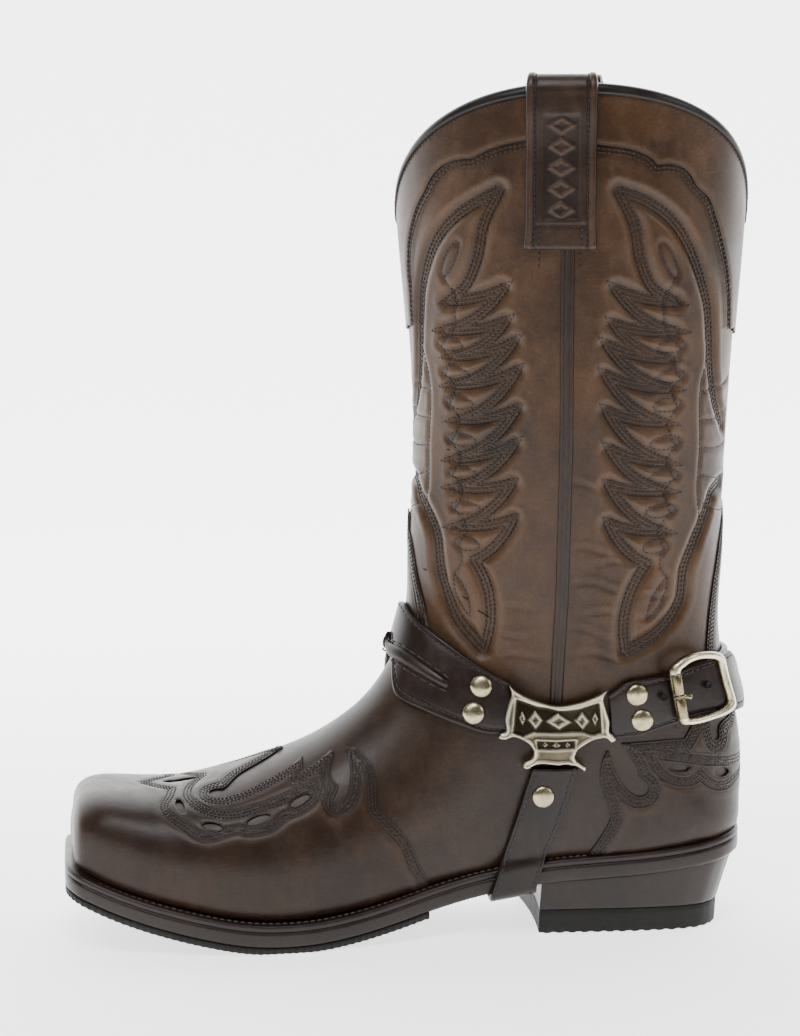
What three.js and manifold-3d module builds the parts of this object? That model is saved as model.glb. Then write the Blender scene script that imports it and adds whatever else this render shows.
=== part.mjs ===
// Harness boot for the left foot: a tall western shaft on a boxy square toe, a welted
// leather sole with a rubber half sole, a stacked heel, and a riveted strap harness
// with a cast plate on each side and a buckle at the back.
// Millimetres, +Z up, toe towards -X, outer (lateral) side towards -Y.
// The origin is the middle of the heel's resting face.
import * as THREE from 'three'
import { mergeVertices } from 'three/addons/utils/BufferGeometryUtils.js'
import Module from 'manifold-3d'

const wasm = await Module()
wasm.setup()

// Driving sizes of the shoe
const SOLE_LENGTH = 307
const HEEL_BACK = 53
const THROAT_HEIGHT = 148
const TOP_HEIGHT = 376
const BALL_WIDTH = 103
const UPPER_WALL = 2.2
const GAP = 0.3
const TUCK = 4

// Thicknesses of the sole's layers and of the pieces laid on the upper
const WELT_THICK = 3
const OUTSOLE_THICK = 6.9
const SOLE_EDGE = 13.2
const OVERLAY_THICK = 1.3
const STRAP_THICK = 2.6
const KEEPER_THICK = 1.5
const PLATE_THICK = 2.4
const RIVET_RADIUS = 5
const RIVET_RISE = 2.4
const PULL_WIDTH = 29
const PULL_THICK = 2.6

// Clearances above the upper's outside
const OVERLAY_LIFT = GAP
const STRAP_LIFT = OVERLAY_LIFT + OVERLAY_THICK + GAP
const ON_STRAP_LIFT = STRAP_LIFT + STRAP_THICK + GAP
const OVER_END_LIFT = ON_STRAP_LIFT + STRAP_THICK + GAP

// Heel block and lift
const LIFT_THICK = 10.9
const HEEL_BREAST_TOP = -40
const HEEL_LEAN = 2
const HEEL_LENGTH_SHARE = 0.913
const HEEL_WIDTH_SHARE = 0.87

// Topline
const TOPLINE_DIP = 320
const TOPLINE_RISE = 57
const FRONT_CURVE = 1
const BACK_CURVE = 0.78

// Smooth curve through rows of numbers, each row at its own key
function smooth(keys, rows) {
  const slope = rows.map((row, i) => row.map((value, c) => {
    const before = i > 0 ? (value - rows[i - 1][c]) / (keys[i] - keys[i - 1]) : null
    const after = i < rows.length - 1 ? (rows[i + 1][c] - value) / (keys[i + 1] - keys[i]) : null
    if (before === null) return after
    if (after === null) return before
    const left = keys[i] - keys[i - 1]
    const right = keys[i + 1] - keys[i]
    return (before * right + after * left) / (left + right)
  }))
  return (key) => {
    let i = 0
    while (i < keys.length - 2 && key > keys[i + 1]) i += 1
    const span = keys[i + 1] - keys[i]
    const u = (key - keys[i]) / span
    return rows[i].map((value, c) => (1 + 2 * u) * (1 - u) ** 2 * value
      + u * (1 - u) ** 2 * span * slope[i][c]
      + u * u * (3 - 2 * u) * rows[i + 1][c]
      + u * u * (u - 1) * span * slope[i + 1][c])
  }
}

const along = (share) => HEEL_BACK - share * SOLE_LENGTH
const height = (share) => (share <= 1
  ? share * THROAT_HEIGHT
  : THROAT_HEIGHT + (share - 1) * (TOP_HEIGHT - THROAT_HEIGHT))

// Height of the welt's top along the sole: share of the length from the heel's back, mm
const WELT_TOP = [
  [-0.020, 45.2], [0, 44.6], [0.030, 43.0], [0.075, 40.6], [0.140, 38.1], [0.220, 36.3],
  [0.303, 34.3], [0.352, 32.0], [0.407, 28.8], [0.459, 24.9], [0.524, 19.4], [0.577, 15.9],
  [0.625, 13.7], [0.678, 12.8], [0.743, 13.9], [0.795, 16.9], [0.840, 20.2], [0.886, 24.1],
  [0.938, 29.4], [0.965, 32.7], [0.987, 35.5], [1.000, 37.2], [1.050, 43.5],
]
const weltCurve = smooth(WELT_TOP.map((row) => row[0]), WELT_TOP.map((row) => [row[1]]))
const weltTop = (x) => weltCurve((HEEL_BACK - x) / SOLE_LENGTH)[0]

// Sections of the upper, fanned from upright ones at the toe, by slanting ones at the instep
// and heel, to level ones in the shaft. Front and back ends as shares of the length and of the
// heights, a null back height lies on the welt; half widths as shares of the ball's width;
// belly is the widest place's share from the back end; powers square the two ends; twist in
// degrees; steps divide the stretch to the next section, and a section with none only shapes
// its neighbours' curve.
const SECTIONS = [
  // frontAlong, frontHeight, backAlong, backHeight, lateral, medial, belly, frontPower, backPower, twist, steps
  [0.9832, 0.372, 0.9832, 0.270, 0.165, 0.184, 0.50, 3.00, 3.0, 0, 1],
  [0.9822, 0.392, 0.9822, 0.250, 0.223, 0.248, 0.48, 3.10, 3.2, 0, 0],
  [0.9795, 0.412, 0.9795, 0.215, 0.267, 0.291, 0.46, 3.20, 3.8, 0, 1],
  [0.9735, 0.430, 0.9735, null, 0.301, 0.325, 0.44, 3.20, 4.5, 0, 1],
  [0.9630, 0.442, 0.9630, null, 0.325, 0.350, 0.42, 3.20, 4.5, 0, 1],
  [0.9480, 0.448, 0.9480, null, 0.350, 0.369, 0.42, 3.20, 4.5, 0, 0],
  [0.9190, 0.449, 0.9190, null, 0.382, 0.396, 0.41, 3.00, 4.5, 0, 1],
  [0.8890, 0.446, 0.8890, null, 0.408, 0.417, 0.40, 2.80, 4.5, 0, 0],
  [0.8240, 0.452, 0.8240, null, 0.442, 0.442, 0.38, 2.50, 4.5, 0, 1],
  [0.7590, 0.487, 0.7520, null, 0.461, 0.451, 0.36, 2.20, 4.5, 0, 1],
  [0.6940, 0.537, 0.6740, null, 0.456, 0.432, 0.34, 2.05, 4.5, 0, 1],
  [0.6290, 0.596, 0.5900, null, 0.422, 0.388, 0.34, 1.95, 4.5, 0, 1],
  [0.5700, 0.680, 0.4980, null, 0.374, 0.335, 0.34, 1.90, 4.5, 0, 2],
  [0.5310, 0.775, 0.3880, null, 0.350, 0.320, 0.36, 1.90, 5.2, 0, 1],
  [0.5050, 0.883, 0.2640, null, 0.354, 0.340, 0.39, 1.95, 6.0, 0, 1],
  [0.4920, 0.970, 0.1480, null, 0.364, 0.354, 0.41, 2.00, 6.5, 1, 1],
  [0.4880, 1.015, 0.0640, null, 0.369, 0.364, 0.43, 2.05, 5.0, 2, 1],
  [0.4870, 1.036, 0.0200, null, 0.372, 0.369, 0.44, 2.05, 3.6, 2.3, 0],
  [0.4868, 1.050, 0.0060, 0.290, 0.375, 0.373, 0.45, 2.05, 2.9, 2.5, 1],
  [0.4865, 1.064, -0.0003, 0.400, 0.378, 0.377, 0.46, 2.05, 2.6, 2.7, 1],
  [0.4866, 1.084, -0.0020, 0.510, 0.382, 0.382, 0.47, 2.10, 2.4, 3, 0],
  [0.4870, 1.110, 0.0055, 0.645, 0.388, 0.388, 0.48, 2.10, 2.2, 3.5, 1],
  [0.4870, 1.150, 0.0240, 0.778, 0.401, 0.401, 0.49, 2.10, 2.1, 4, 1],
  [0.4850, 1.205, 0.0340, 0.912, 0.417, 0.417, 0.50, 2.10, 2.1, 5, 1],
  [0.4830, 1.290, 0.0310, 1.096, 0.447, 0.447, 0.50, 2.10, 2.1, 6.5, 1],
  [0.4830, 1.400, 0.0260, 1.294, 0.481, 0.481, 0.50, 2.10, 2.1, 8, 1],
  [0.4890, 1.535, 0.0180, 1.500, 0.505, 0.505, 0.50, 2.10, 2.1, 9, 1],
  [0.5040, 1.763, 0.0020, 1.757, 0.529, 0.529, 0.50, 2.10, 2.1, 9, 1],
  [0.5110, 2.060, -0.0080, 2.060, 0.539, 0.539, 0.50, 2.10, 2.1, 9, 0],
]
const FORM = SECTIONS.map((row) => {
  const [frontAlong, frontHeight, backAlong, backHeight, lateral, medial, ...shape] = row
  const backX = along(backAlong)
  const backZ = backHeight === null ? weltTop(backX) - TUCK : height(backHeight)
  return [along(frontAlong), height(frontHeight), backX, backZ,
    lateral * BALL_WIDTH, medial * BALL_WIDTH, ...shape.slice(0, 4)]
})
const STATIONS = [0]
for (let i = 1; i < FORM.length; i += 1) {
  let sum = 0
  for (let c = 0; c < 6; c += 1) sum += (FORM[i][c] - FORM[i - 1][c]) ** 2
  STATIONS.push(STATIONS[i - 1] + Math.sqrt(sum))
}
const formAt = smooth(STATIONS, FORM)

// A point of the upper's outside: station along the fan, angle from the front line by the
// lateral side
function outside(station, angle) {
  const [fx, fz, bx, bz, lateral, medial, belly, frontPower, backPower, twist] = formAt(station)
  const c = Math.cos(angle)
  const s = Math.sin(angle)
  const power = 2 / (c >= 0 ? frontPower : backPower)
  const chord = Math.hypot(fx - bx, fz - bz)
  const reach = Math.sign(c) * Math.abs(c) ** power * (c >= 0 ? 1 - belly : belly) * chord
  const width = Math.sign(s) * Math.abs(s) ** power * (s >= 0 ? lateral : medial)
  const turn = THREE.MathUtils.degToRad(twist)
  const ahead = reach * Math.cos(turn) + width * Math.sin(turn)
  const aside = width * Math.cos(turn) - reach * Math.sin(turn)
  return new THREE.Vector3(
    bx + (fx - bx) * (belly + ahead / chord),
    -aside,
    bz + (fz - bz) * (belly + ahead / chord),
  )
}

// The outward direction there, and the point lifted along it
const LAST_STATION = STATIONS[STATIONS.length - 1]
function normal(station, angle) {
  const turn = 0.012
  const step = 0.4
  const low = Math.max(0, station - step)
  const high = Math.min(LAST_STATION, station + step)
  const around = outside(station, angle + turn).sub(outside(station, angle - turn))
  const up = outside(high, angle).sub(outside(low, angle))
  return around.cross(up).normalize()
}
function lifted(station, angle, lift) {
  const point = outside(station, angle)
  return point.addScaledVector(normal(station, angle), lift)
}

// Closed solid from rings of points, its two ends closed by fans
function loft(rings) {
  const count = rings[0].length
  const positions = []
  const indices = []
  rings.forEach((ring) => ring.forEach((p) => positions.push(p.x, p.y, p.z)))
  for (let i = 0; i < rings.length - 1; i += 1) {
    for (let j = 0; j < count; j += 1) {
      const a = i * count + j
      const b = i * count + (j + 1) % count
      indices.push(a, b, a + count, b, b + count, a + count)
    }
  }
  const ends = [rings[0], rings[rings.length - 1]]
  ends.forEach((ring, end) => {
    const middle = new THREE.Vector3()
    ring.forEach((p) => middle.addScaledVector(p, 1 / count))
    const hub = positions.length / 3
    positions.push(middle.x, middle.y, middle.z)
    const base = end === 0 ? 0 : (rings.length - 1) * count
    for (let j = 0; j < count; j += 1) {
      const a = base + j
      const b = base + (j + 1) % count
      if (end === 0) indices.push(b, a, hub)
      else indices.push(a, b, hub)
    }
  })
  return facing(positions, indices)
}

// Turns the faces so that they point out, and gives a solid
function facing(positions, indices) {
  const at = (i) => new THREE.Vector3(positions[3 * i], positions[3 * i + 1], positions[3 * i + 2])
  let volume = 0
  for (let i = 0; i < indices.length; i += 3) {
    volume += at(indices[i]).dot(at(indices[i + 1]).cross(at(indices[i + 2])))
  }
  const order = volume < 0 ? [...indices].reverse() : indices
  return new wasm.Manifold(new wasm.Mesh({
    numProp: 3,
    vertProperties: new Float32Array(positions),
    triVerts: new Uint32Array(order),
  }))
}

// Solid from a three.js geometry
function solid(geometry) {
  const bare = geometry.clone()
  bare.deleteAttribute('normal')
  bare.deleteAttribute('uv')
  const merged = mergeVertices(bare, 1e-4)
  return new wasm.Manifold(new wasm.Mesh({
    numProp: 3,
    vertProperties: new Float32Array(merged.attributes.position.array),
    triVerts: new Uint32Array(merged.index.array),
  }))
}

// Straight prism of an outline seen from the side (x, z) or from above (x, y)
function outlineShape(points) {
  return new THREE.Shape(points.map(([a, b]) => new THREE.Vector2(a, b)))
}
function sidePrism(points, from = -120, to = 120) {
  const depth = to - from
  const geometry = new THREE.ExtrudeGeometry(outlineShape(points), { depth, bevelEnabled: false })
  geometry.rotateX(Math.PI / 2)
  geometry.translate(0, to, 0)
  return solid(geometry)
}
function planPrism(points, from, to) {
  const depth = to - from
  const geometry = new THREE.ExtrudeGeometry(outlineShape(points), { depth, bevelEnabled: false })
  geometry.translate(0, 0, from)
  return solid(geometry)
}

// The upper's form, lifted by a distance or by a function of the place
const COLUMNS = 26
const LINING_COLUMNS = 20
function form(lift, columns = COLUMNS, fine = true) {
  const stations = []
  SECTIONS.forEach((row, i) => {
    const steps = fine ? row[10] : Math.min(row[10], 1)
    for (let k = 0; k < steps; k += 1) {
      stations.push(STATIONS[i] + (STATIONS[i + 1] - STATIONS[i]) * k / steps)
    }
  })
  stations.push(LAST_STATION)
  return loft(stations.map((station) => {
    const ring = []
    for (let j = 0; j < columns; j += 1) {
      const angle = 2 * Math.PI * j / columns
      const bare = outside(station, angle)
      const rise = typeof lift === 'function' ? lift(bare) : lift
      ring.push(lifted(station, angle, rise))
    }
    return ring
  }))
}

// The place of the upper nearest to a wanted one: narrows a window of stations and angles
function nearest(miss, station, stationSpan, angle, angleSpan) {
  let found = [station, angle]
  let spans = [stationSpan, angleSpan]
  for (let level = 0; level < 26; level += 1) {
    let best = Infinity
    let next = found
    for (let i = -4; i <= 4; i += 1) {
      for (let j = -4; j <= 4; j += 1) {
        const s = THREE.MathUtils.clamp(found[0] + spans[0] * i / 4, 0, LAST_STATION)
        const a = found[1] + spans[1] * j / 4
        const m = miss(s, a)
        if (m < best) {
          best = m
          next = [s, a]
        }
      }
    }
    found = next
    spans = spans.map((span) => span * 0.6)
  }
  return found
}

// The place at a side-view position (x, z) of one side, -1 lateral, 1 medial
function onSide(x, z, side, lift) {
  const [station, angle] = nearest((s, a) => {
    if (Math.abs(a) < 0.02 || Math.abs(a) > Math.PI - 0.02) return Infinity
    const p = outside(s, a)
    return (p.x - x) ** 2 + (p.z - z) ** 2
  }, LAST_STATION / 2, LAST_STATION / 2, -side * Math.PI / 2, Math.PI / 2)
  return lifted(station, angle, lift)
}

// Height of the topline at an angle from the front line
function topline(angle) {
  const turned = Math.abs(Math.atan2(Math.sin(angle), Math.cos(angle))) / (Math.PI / 2)
  const front = turned <= 1
  const share = front ? turned : 2 - turned
  return TOPLINE_DIP + TOPLINE_RISE * (1 - (1 - share) ** 2) ** (front ? FRONT_CURVE : BACK_CURVE)
}

// Station of a column of the shaft at a height
function atHeight(angle, z) {
  let low = STATIONS[22]
  let high = LAST_STATION
  for (let i = 0; i < 40; i += 1) {
    const middle = (low + high) / 2
    if (outside(middle, angle).z < z) low = middle
    else high = middle
  }
  return (low + high) / 2
}

// Everything above the topline: a fan of straight lines from the shaft's middle
const TOPLINE_STEPS = 36
function aboveTopline() {
  const count = TOPLINE_STEPS
  const hub = outside(LAST_STATION, 0).add(outside(LAST_STATION, Math.PI)).multiplyScalar(0.5)
  const ring = (scale, level) => {
    const points = []
    for (let j = 0; j < count; j += 1) {
      const angle = 2 * Math.PI * j / count
      const edge = outside(atHeight(angle, topline(angle)), angle)
      const z = level === null ? edge.z : level
      points.push(new THREE.Vector3(hub.x + (edge.x - hub.x) * scale, hub.y + (edge.y - hub.y) * scale, z))
    }
    return points
  }
  return loft([ring(0.5, null), ring(0.93, null), ring(1.3, null), ring(1.3, 450), ring(0.5, 450)])
}

// Outline of the sole: share of the length, half widths outwards and inwards, mm
const SOLE_OUTLINE = [
  [-0.0020, 8, 6], [0.0040, 19, 16], [0.0120, 24.5, 22], [0.0300, 31, 28.5], [0.0600, 35.3, 33],
  [0.1000, 37, 35], [0.1600, 37.5, 35.8], [0.2400, 36.6, 35], [0.3030, 36, 34],
  [0.3520, 35.5, 33], [0.4070, 36, 32.8], [0.4590, 37.8, 34.2], [0.5240, 41.6, 38],
  [0.5770, 45.5, 42.3], [0.6250, 48.3, 45.6], [0.6500, 49.5, 47.2], [0.6780, 50.4, 48.6],
  [0.7050, 50.9, 49.5], [0.7430, 51.2, 50.2],
  [0.7950, 50.8, 50.4], [0.8400, 49.5, 49.6], [0.8860, 47.2, 48], [0.9380, 43, 44.8],
  [0.9650, 40, 42.5], [0.9850, 36.2, 39], [0.9940, 31.5, 34.5], [0.9990, 25.5, 28.5], [1.0, 21, 24],
]
// Outline inside the welt, where the insole lies
const INNER_OUTLINE = [
  [0.0160, 16, 12], [0.0300, 23.5, 19.5], [0.0600, 28, 24.2], [0.1000, 29.8, 26.6],
  [0.1600, 30.7, 28.4], [0.2400, 29.6, 28.2], [0.3030, 29, 27.5], [0.3520, 28.5, 26.3],
  [0.4070, 28.5, 25.7], [0.4590, 29.3, 26], [0.5240, 31.1, 27.6], [0.5770, 34.7, 31.4],
  [0.6250, 37, 34.1], [0.6780, 39.3, 37.1], [0.7430, 40, 38.9], [0.7950, 39.6, 39.2],
  [0.8400, 38.4, 38.5], [0.8860, 36.2, 37], [0.9380, 31.8, 33.5], [0.9600, 28, 30], [0.9660, 22, 24],
]

// A layer of the sole: an outline between a top and a bottom height
function slab(outline, top, bottom, inset = 0) {
  return loft(outline.map(([share, lateral, medial], i) => {
    const last = i === outline.length - 1
    const x = along(share) + (i === 0 ? -inset : last ? inset : 0)
    const high = top(along(share))
    const low = bottom(along(share))
    return [
      new THREE.Vector3(x, -lateral + inset, high),
      new THREE.Vector3(x, medial - inset, high),
      new THREE.Vector3(x, medial - inset, low),
      new THREE.Vector3(x, -lateral + inset, low),
    ]
  }))
}
const weltUnder = (x) => weltTop(x) - WELT_THICK
const outsoleTop = (x) => weltUnder(x) - GAP
const outsoleUnder = (x) => outsoleTop(x) - OUTSOLE_THICK
const treadTop = (x) => outsoleUnder(x) - GAP
const treadUnder = (x) => Math.max(0, weltTop(x) - SOLE_EDGE)

const welt = slab(SOLE_OUTLINE, weltTop, weltUnder)
  .subtract(slab(INNER_OUTLINE, (x) => weltTop(x) + 5, (x) => weltUnder(x) - 5))
const insole = slab(INNER_OUTLINE, weltTop, weltUnder, GAP)
const outsole = slab(SOLE_OUTLINE, outsoleTop, outsoleUnder)
const HALF_SOLE_BACK = 0.469
const halfSole = slab(
  [[HALF_SOLE_BACK, 38.3, 34.7], ...SOLE_OUTLINE.filter((row) => row[0] > 0.5)],
  treadTop,
  treadUnder,
)

// Heel: rings of the sole's own outline behind the breast, drawn in towards the floor
const HEEL_ROWS = SOLE_OUTLINE.filter((row) => row[0] < 0.3)
function heelRing(drawn, z) {
  const breast = HEEL_BREAST_TOP - HEEL_LEAN * drawn
  const length = 1 + (HEEL_LENGTH_SHARE - 1) * drawn
  const width = 1 + (HEEL_WIDTH_SHARE - 1) * drawn
  const place = (share, half) => {
    const x = breast + (along(share) - HEEL_BREAST_TOP) * length
    return new THREE.Vector3(x, half * width, z)
  }
  const breastShare = (HEEL_BACK - HEEL_BREAST_TOP) / SOLE_LENGTH
  const rows = [...HEEL_ROWS, [breastShare, 36, 34]]
  const outer = rows.map((row) => place(row[0], -row[1])).reverse()
  const inner = rows.map((row) => place(row[0], row[2]))
  return [...outer, ...inner]
}
const underSeat = WELT_TOP.filter((row) => row[0] < 0.36)
const heelBlock = loft([heelRing(-0.05, 44), heelRing(0.5, 26), heelRing(0.93, LIFT_THICK + GAP)])
  .subtract(sidePrism([
    [HEEL_BACK + 20, outsoleUnder(HEEL_BACK) - GAP],
    ...underSeat.filter((row) => row[0] >= 0).map(([share]) => [along(share), outsoleUnder(along(share)) - GAP]),
    [along(0.36), 60],
    [HEEL_BACK + 20, 60],
  ]))
const heelLift = loft([heelRing(0.93, LIFT_THICK), heelRing(1, 0)])

// The upper: a hollow shell, open at the collar and at the foot where the insole closes it
const above = aboveTopline()
const footLine = WELT_TOP.filter((row) => row[0] > -0.01 && row[0] < 1.01)
const footCut = (rise) => sidePrism([
  [HEEL_BACK + 40, 45 + rise],
  ...footLine.map(([share, z]) => [along(share), z + rise]),
  [along(1) - 40, 45 + rise],
  [along(1) - 40, -60],
  [HEEL_BACK + 40, -60],
])
const outer = form(0)
const lining = form(-UPPER_WALL, LINING_COLUMNS, false)
const upper = outer.subtract(lining).subtract(above).subtract(footCut(GAP))

// Layers on the upper: the form between two lifts
function layer(from, thick) {
  const high = typeof from === 'function' ? (p) => from(p) + thick : from + thick
  return form(high).subtract(form(from))
}
const overlayLayer = layer(OVERLAY_LIFT, OVERLAY_THICK).subtract(above)
const strapLayer = layer(STRAP_LIFT, STRAP_THICK)
const onStrapLayer = layer(ON_STRAP_LIFT, PLATE_THICK)
const keeperLayer = layer(ON_STRAP_LIFT, KEEPER_THICK)

// Collar: scalloped band round the shaft's mouth; its lower edge from front to back (x, z)
const COLLAR_EDGE = [
  [-120, 270], [-97.2, 276], [-98.9, 302], [-98.2, 313.8], [-94.4, 330.6], [-92.6, 332.6],
  [-88, 342.4], [-79.5, 347], [-74.7, 347.4], [-67.8, 351.1], [-51.4, 355.2], [-37, 355.6],
  [-22.7, 353.4], [-6.1, 350.6], [0.3, 347.2], [2.9, 344.7], [9.4, 345.1], [16, 343],
  [21.7, 335], [26.7, 332.1], [31.7, 321], [39.4, 300.1], [41.7, 284.1], [46, 272], [70, 268],
  [70, 420], [-120, 420],
]
const collar = overlayLayer.intersect(sidePrism(COLLAR_EDGE))

// Toe overlay with its flame-cut back edge; from the welt up (x, z)
const TOE_EDGE = [
  [-89.9, 8], [-89.9, 21.8], [-96.7, 34.9], [-102.6, 47.9], [-108.7, 54.6], [-115.6, 61.3],
  [-116.0, 70.4], [-119.6, 80.9], [-128.3, 85.7], [-127.1, 76.0], [-129.6, 66.0], [-134.9, 63.4],
  [-132.0, 71.1], [-135.2, 74.3], [-133.4, 84.7], [-140.4, 80.1], [-147.9, 75.9], [-147.4, 81.4],
  [-154.8, 85.0], [-154.8, 130], [-290, 130], [-290, 8],
]
// Finger of the instep showing through the overlay, seen from above (x, y)
const TOE_FINGER = [
  [-139, -21.5], [-147.1, -15.8], [-156.5, -18.6], [-165.2, -19.9], [-174.8, -23.2], [-181.9, -26.8],
  [-186.1, -26.9], [-189.2, -24.3], [-187.7, -20.6], [-183.1, -22.1], [-180.1, -20], [-175.6, -13],
  [-168.7, -8.6], [-154, -3], [-139, -3],
]
const footLayer = overlayLayer.subtract(footCut(GAP))
const toeOverlay = footLayer
  .intersect(sidePrism(TOE_EDGE))
  .subtract(planPrism(TOE_FINGER, 50, 120))
  .subtract(planPrism(TOE_FINGER.map(([x, y]) => [x, -y]), 50, 120))

// Tongue: the vamp's point up the shaft's front, its foot under the front strap (x, z)
const TONGUE_EDGE = [
  [-125, 122], [-92, 118], [-88.2, 131], [-90.2, 139.7], [-91.8, 150.2], [-94, 160.8],
  [-95.8, 173.9], [-97.4, 184], [-125, 184],
]
const tongue = overlayLayer.intersect(sidePrism(TONGUE_EDGE))

// Counter overlay with its open flame and its point up the shaft's back (x, z)
const COUNTER_EDGE = [
  [-21, 24], [-20.5, 38], [-15.4, 47.7], [-11.1, 55.0], [-14.2, 63.4], [-16, 72], [-14.5, 80],
  [-12.5, 87], [-10.8, 78.1], [-6.9, 70.7], [-2.1, 65.4], [2.9, 64.3], [5.7, 67], [5.2, 70.6],
  [1.9, 72.9], [0.9, 76.1], [-2.3, 82.7], [-7.6, 88], [6.7, 89.5], [22.3, 89.4], [26.8, 96.7],
  [30.4, 103.5], [34.6, 120.5], [37.6, 137], [38.4, 150], [39.2, 178], [42.5, 193.3],
  [90, 193.3], [90, 20], [-21, 20],
]
const counter = footLayer.intersect(sidePrism(COUNTER_EDGE))

// Harness straps round the ankle (x, z)
const FRONT_STRAP = [
  [-130, 161], [-97.5, 145.3], [-88.3, 137.5], [-72.3, 125.5], [-55.4, 116.2], [-51, 106],
  [-54, 95.5], [-66.4, 93.4], [-79.9, 97.8], [-92.7, 102.3], [-105.7, 107.8], [-130, 118],
]
const FRONT_KEEPER = [
  [-130, 141.5], [-104, 131.2], [-82.1, 116.7], [-79.9, 112.6], [-83.9, 111.4], [-104.5, 124.1], [-130, 134],
]
const frontStrap = strapLayer.intersect(sidePrism(FRONT_STRAP))
const frontKeeper = keeperLayer.intersect(sidePrism(FRONT_KEEPER))

const BACK_STRAP = [
  [-17, 111], [-13.1, 112.1], [-6.7, 116.7], [6, 119.1], [15.7, 120.4], [30.7, 124.5], [42, 126],
  [90, 126], [90, 97], [49.9, 98.8], [32.7, 99.5], [20.3, 98.2], [8, 95], [-1.9, 92.2], [-10.6, 91.4],
  [-17, 91.4],
]
const backBand = sidePrism(BACK_STRAP)
// The strap comes from the inner plate round the heel and ends under the buckle; the free end
// comes from the outer plate, runs up over it and ends in a point behind the frame (x, y)
const BAND_END = [[-90, 6], [-90, 120], [120, 120], [120, -60], [44, -60], [44, -20], [30, 6]]
const LATERAL_END = [[-90, -90], [50, -90], [62, -19], [54, -8.5], [46, -4.5], [20, -4.5], [-90, -4.5]]
const END_RISE_FROM = 21
const END_RISE_TO = 32
const endLift = (p) => STRAP_LIFT
  + (STRAP_THICK + GAP) * THREE.MathUtils.smoothstep(p.x, END_RISE_FROM, END_RISE_TO)
const backStrap = strapLayer.intersect(backBand).intersect(planPrism(BAND_END, 60, 150))
const endStrap = layer(endLift, STRAP_THICK).intersect(backBand).intersect(planPrism(LATERAL_END, 60, 150))

// Cast plates, one on each side over the strap ends (x, z)
const PLATE_OUTLINE = [
  [-55.4, 115], [-47.2, 109.8], [-35, 107.1], [-23.2, 109.9], [-13.8, 114.1], [-11.9, 103],
  [-9.8, 91], [-13.3, 91.5], [-20.5, 88.5], [-26.4, 84.5], [-27, 81], [-22.4, 76.5],
  [-26.3, 74.6], [-47.6, 74.6], [-51.2, 77.4], [-46.5, 82], [-47.4, 87.2], [-51.8, 91.5],
  [-57.1, 93.4], [-62.2, 92.4], [-57.9, 103],
]
const plates = onStrapLayer.intersect(sidePrism(PLATE_OUTLINE))
const outerPlate = plates.intersect(sidePrism([[-80, 60], [10, 60], [10, 130], [-80, 130]], -90, 0))
const innerPlate = plates.intersect(sidePrism([[-80, 60], [10, 60], [10, 130], [-80, 130]], 0, 90))

// Strap under the waist, ahead of the heel: down one side, round the sole's edges and up
// again. Its middle and half width along the shoe by height, mm.
const UNDER_TOP = 73
const underMiddle = (z) => -38.2 - (UNDER_TOP - z) * 0.31
const UNDER_HALF = 10.4
const CLEAR = 0.5
const UNDER_EDGES = [-1, 0, 1]
function underStrap() {
  const rings = []
  const wide = (x) => {
    const curve = smooth(SOLE_OUTLINE.map((row) => row[0]), SOLE_OUTLINE.map((row) => [row[1], row[2]]))
    return curve((HEEL_BACK - x) / SOLE_LENGTH)
  }
  const sidePoint = (side, z, w, out) => {
    const x = underMiddle(z) + UNDER_HALF * w
    return onSide(x, z, side, STRAP_LIFT + out)
  }
  const ring = (place) => {
    const inside = UNDER_EDGES.map((w) => place(w, 0))
    const outsidePoints = UNDER_EDGES.map((w) => place(w, STRAP_THICK)).reverse()
    return [...inside, ...outsidePoints]
  }
  const corner = (side, w, y, z) => {
    const x = underMiddle(20) + UNDER_HALF * w
    const half = wide(x)[side < 0 ? 0 : 1]
    return new THREE.Vector3(x, side * (half + y), weltTop(x) + z)
  }
  const down = WELT_THICK + GAP + OUTSOLE_THICK + GAP
  const halfRings = (side) => [
    ...[UNDER_TOP, 66, 59, 52, 46].map((z) => ring((w, out) => sidePoint(side, z, w, out))),
    ring((w, out) => corner(side, w, 1 + out, 4.5)),
    ring((w, out) => corner(side, w, CLEAR + out, 0)),
    ring((w, out) => corner(side, w, CLEAR + out, -down + GAP - out * 0.6)),
    ring((w, out) => corner(side, w, -1.6 + out * 0.7, -down - GAP - out)),
  ]
  rings.push(...halfRings(-1))
  rings.push(...halfRings(1).reverse())
  return loft(rings)
}
const strapUnder = underStrap()

// Rivets: domed heads on the straps, by side-view place (x, z)
const RIVETS = [
  { name: 'front_upper', x: -68.3, z: 114.4 },
  { name: 'front_lower', x: -72.0, z: 102.7 },
  { name: 'back_upper', x: -0.9, z: 111.8 },
  { name: 'back_lower', x: 1.6, z: 100.2 },
  { name: 'under', x: -41.5, z: 63.9 },
]
const RIVET_STEPS = 8
function rivet(x, z, side) {
  const rim = 0.8
  const profile = [[0, 0], [RIVET_RADIUS, 0], [RIVET_RADIUS, rim],
    [RIVET_RADIUS * 0.66, RIVET_RISE * 0.86], [0, RIVET_RISE]]
  const geometry = new THREE.LatheGeometry(profile.map(([r, h]) => new THREE.Vector2(r, h)), RIVET_STEPS)
  const base = onSide(x, z, side, ON_STRAP_LIFT)
  const tip = onSide(x, z, side, ON_STRAP_LIFT + 1)
  const turn = new THREE.Quaternion()
  turn.setFromUnitVectors(new THREE.Vector3(0, 1, 0), tip.clone().sub(base).normalize())
  geometry.applyQuaternion(turn)
  geometry.translate(base.x, base.y, base.z)
  return solid(geometry)
}

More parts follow.
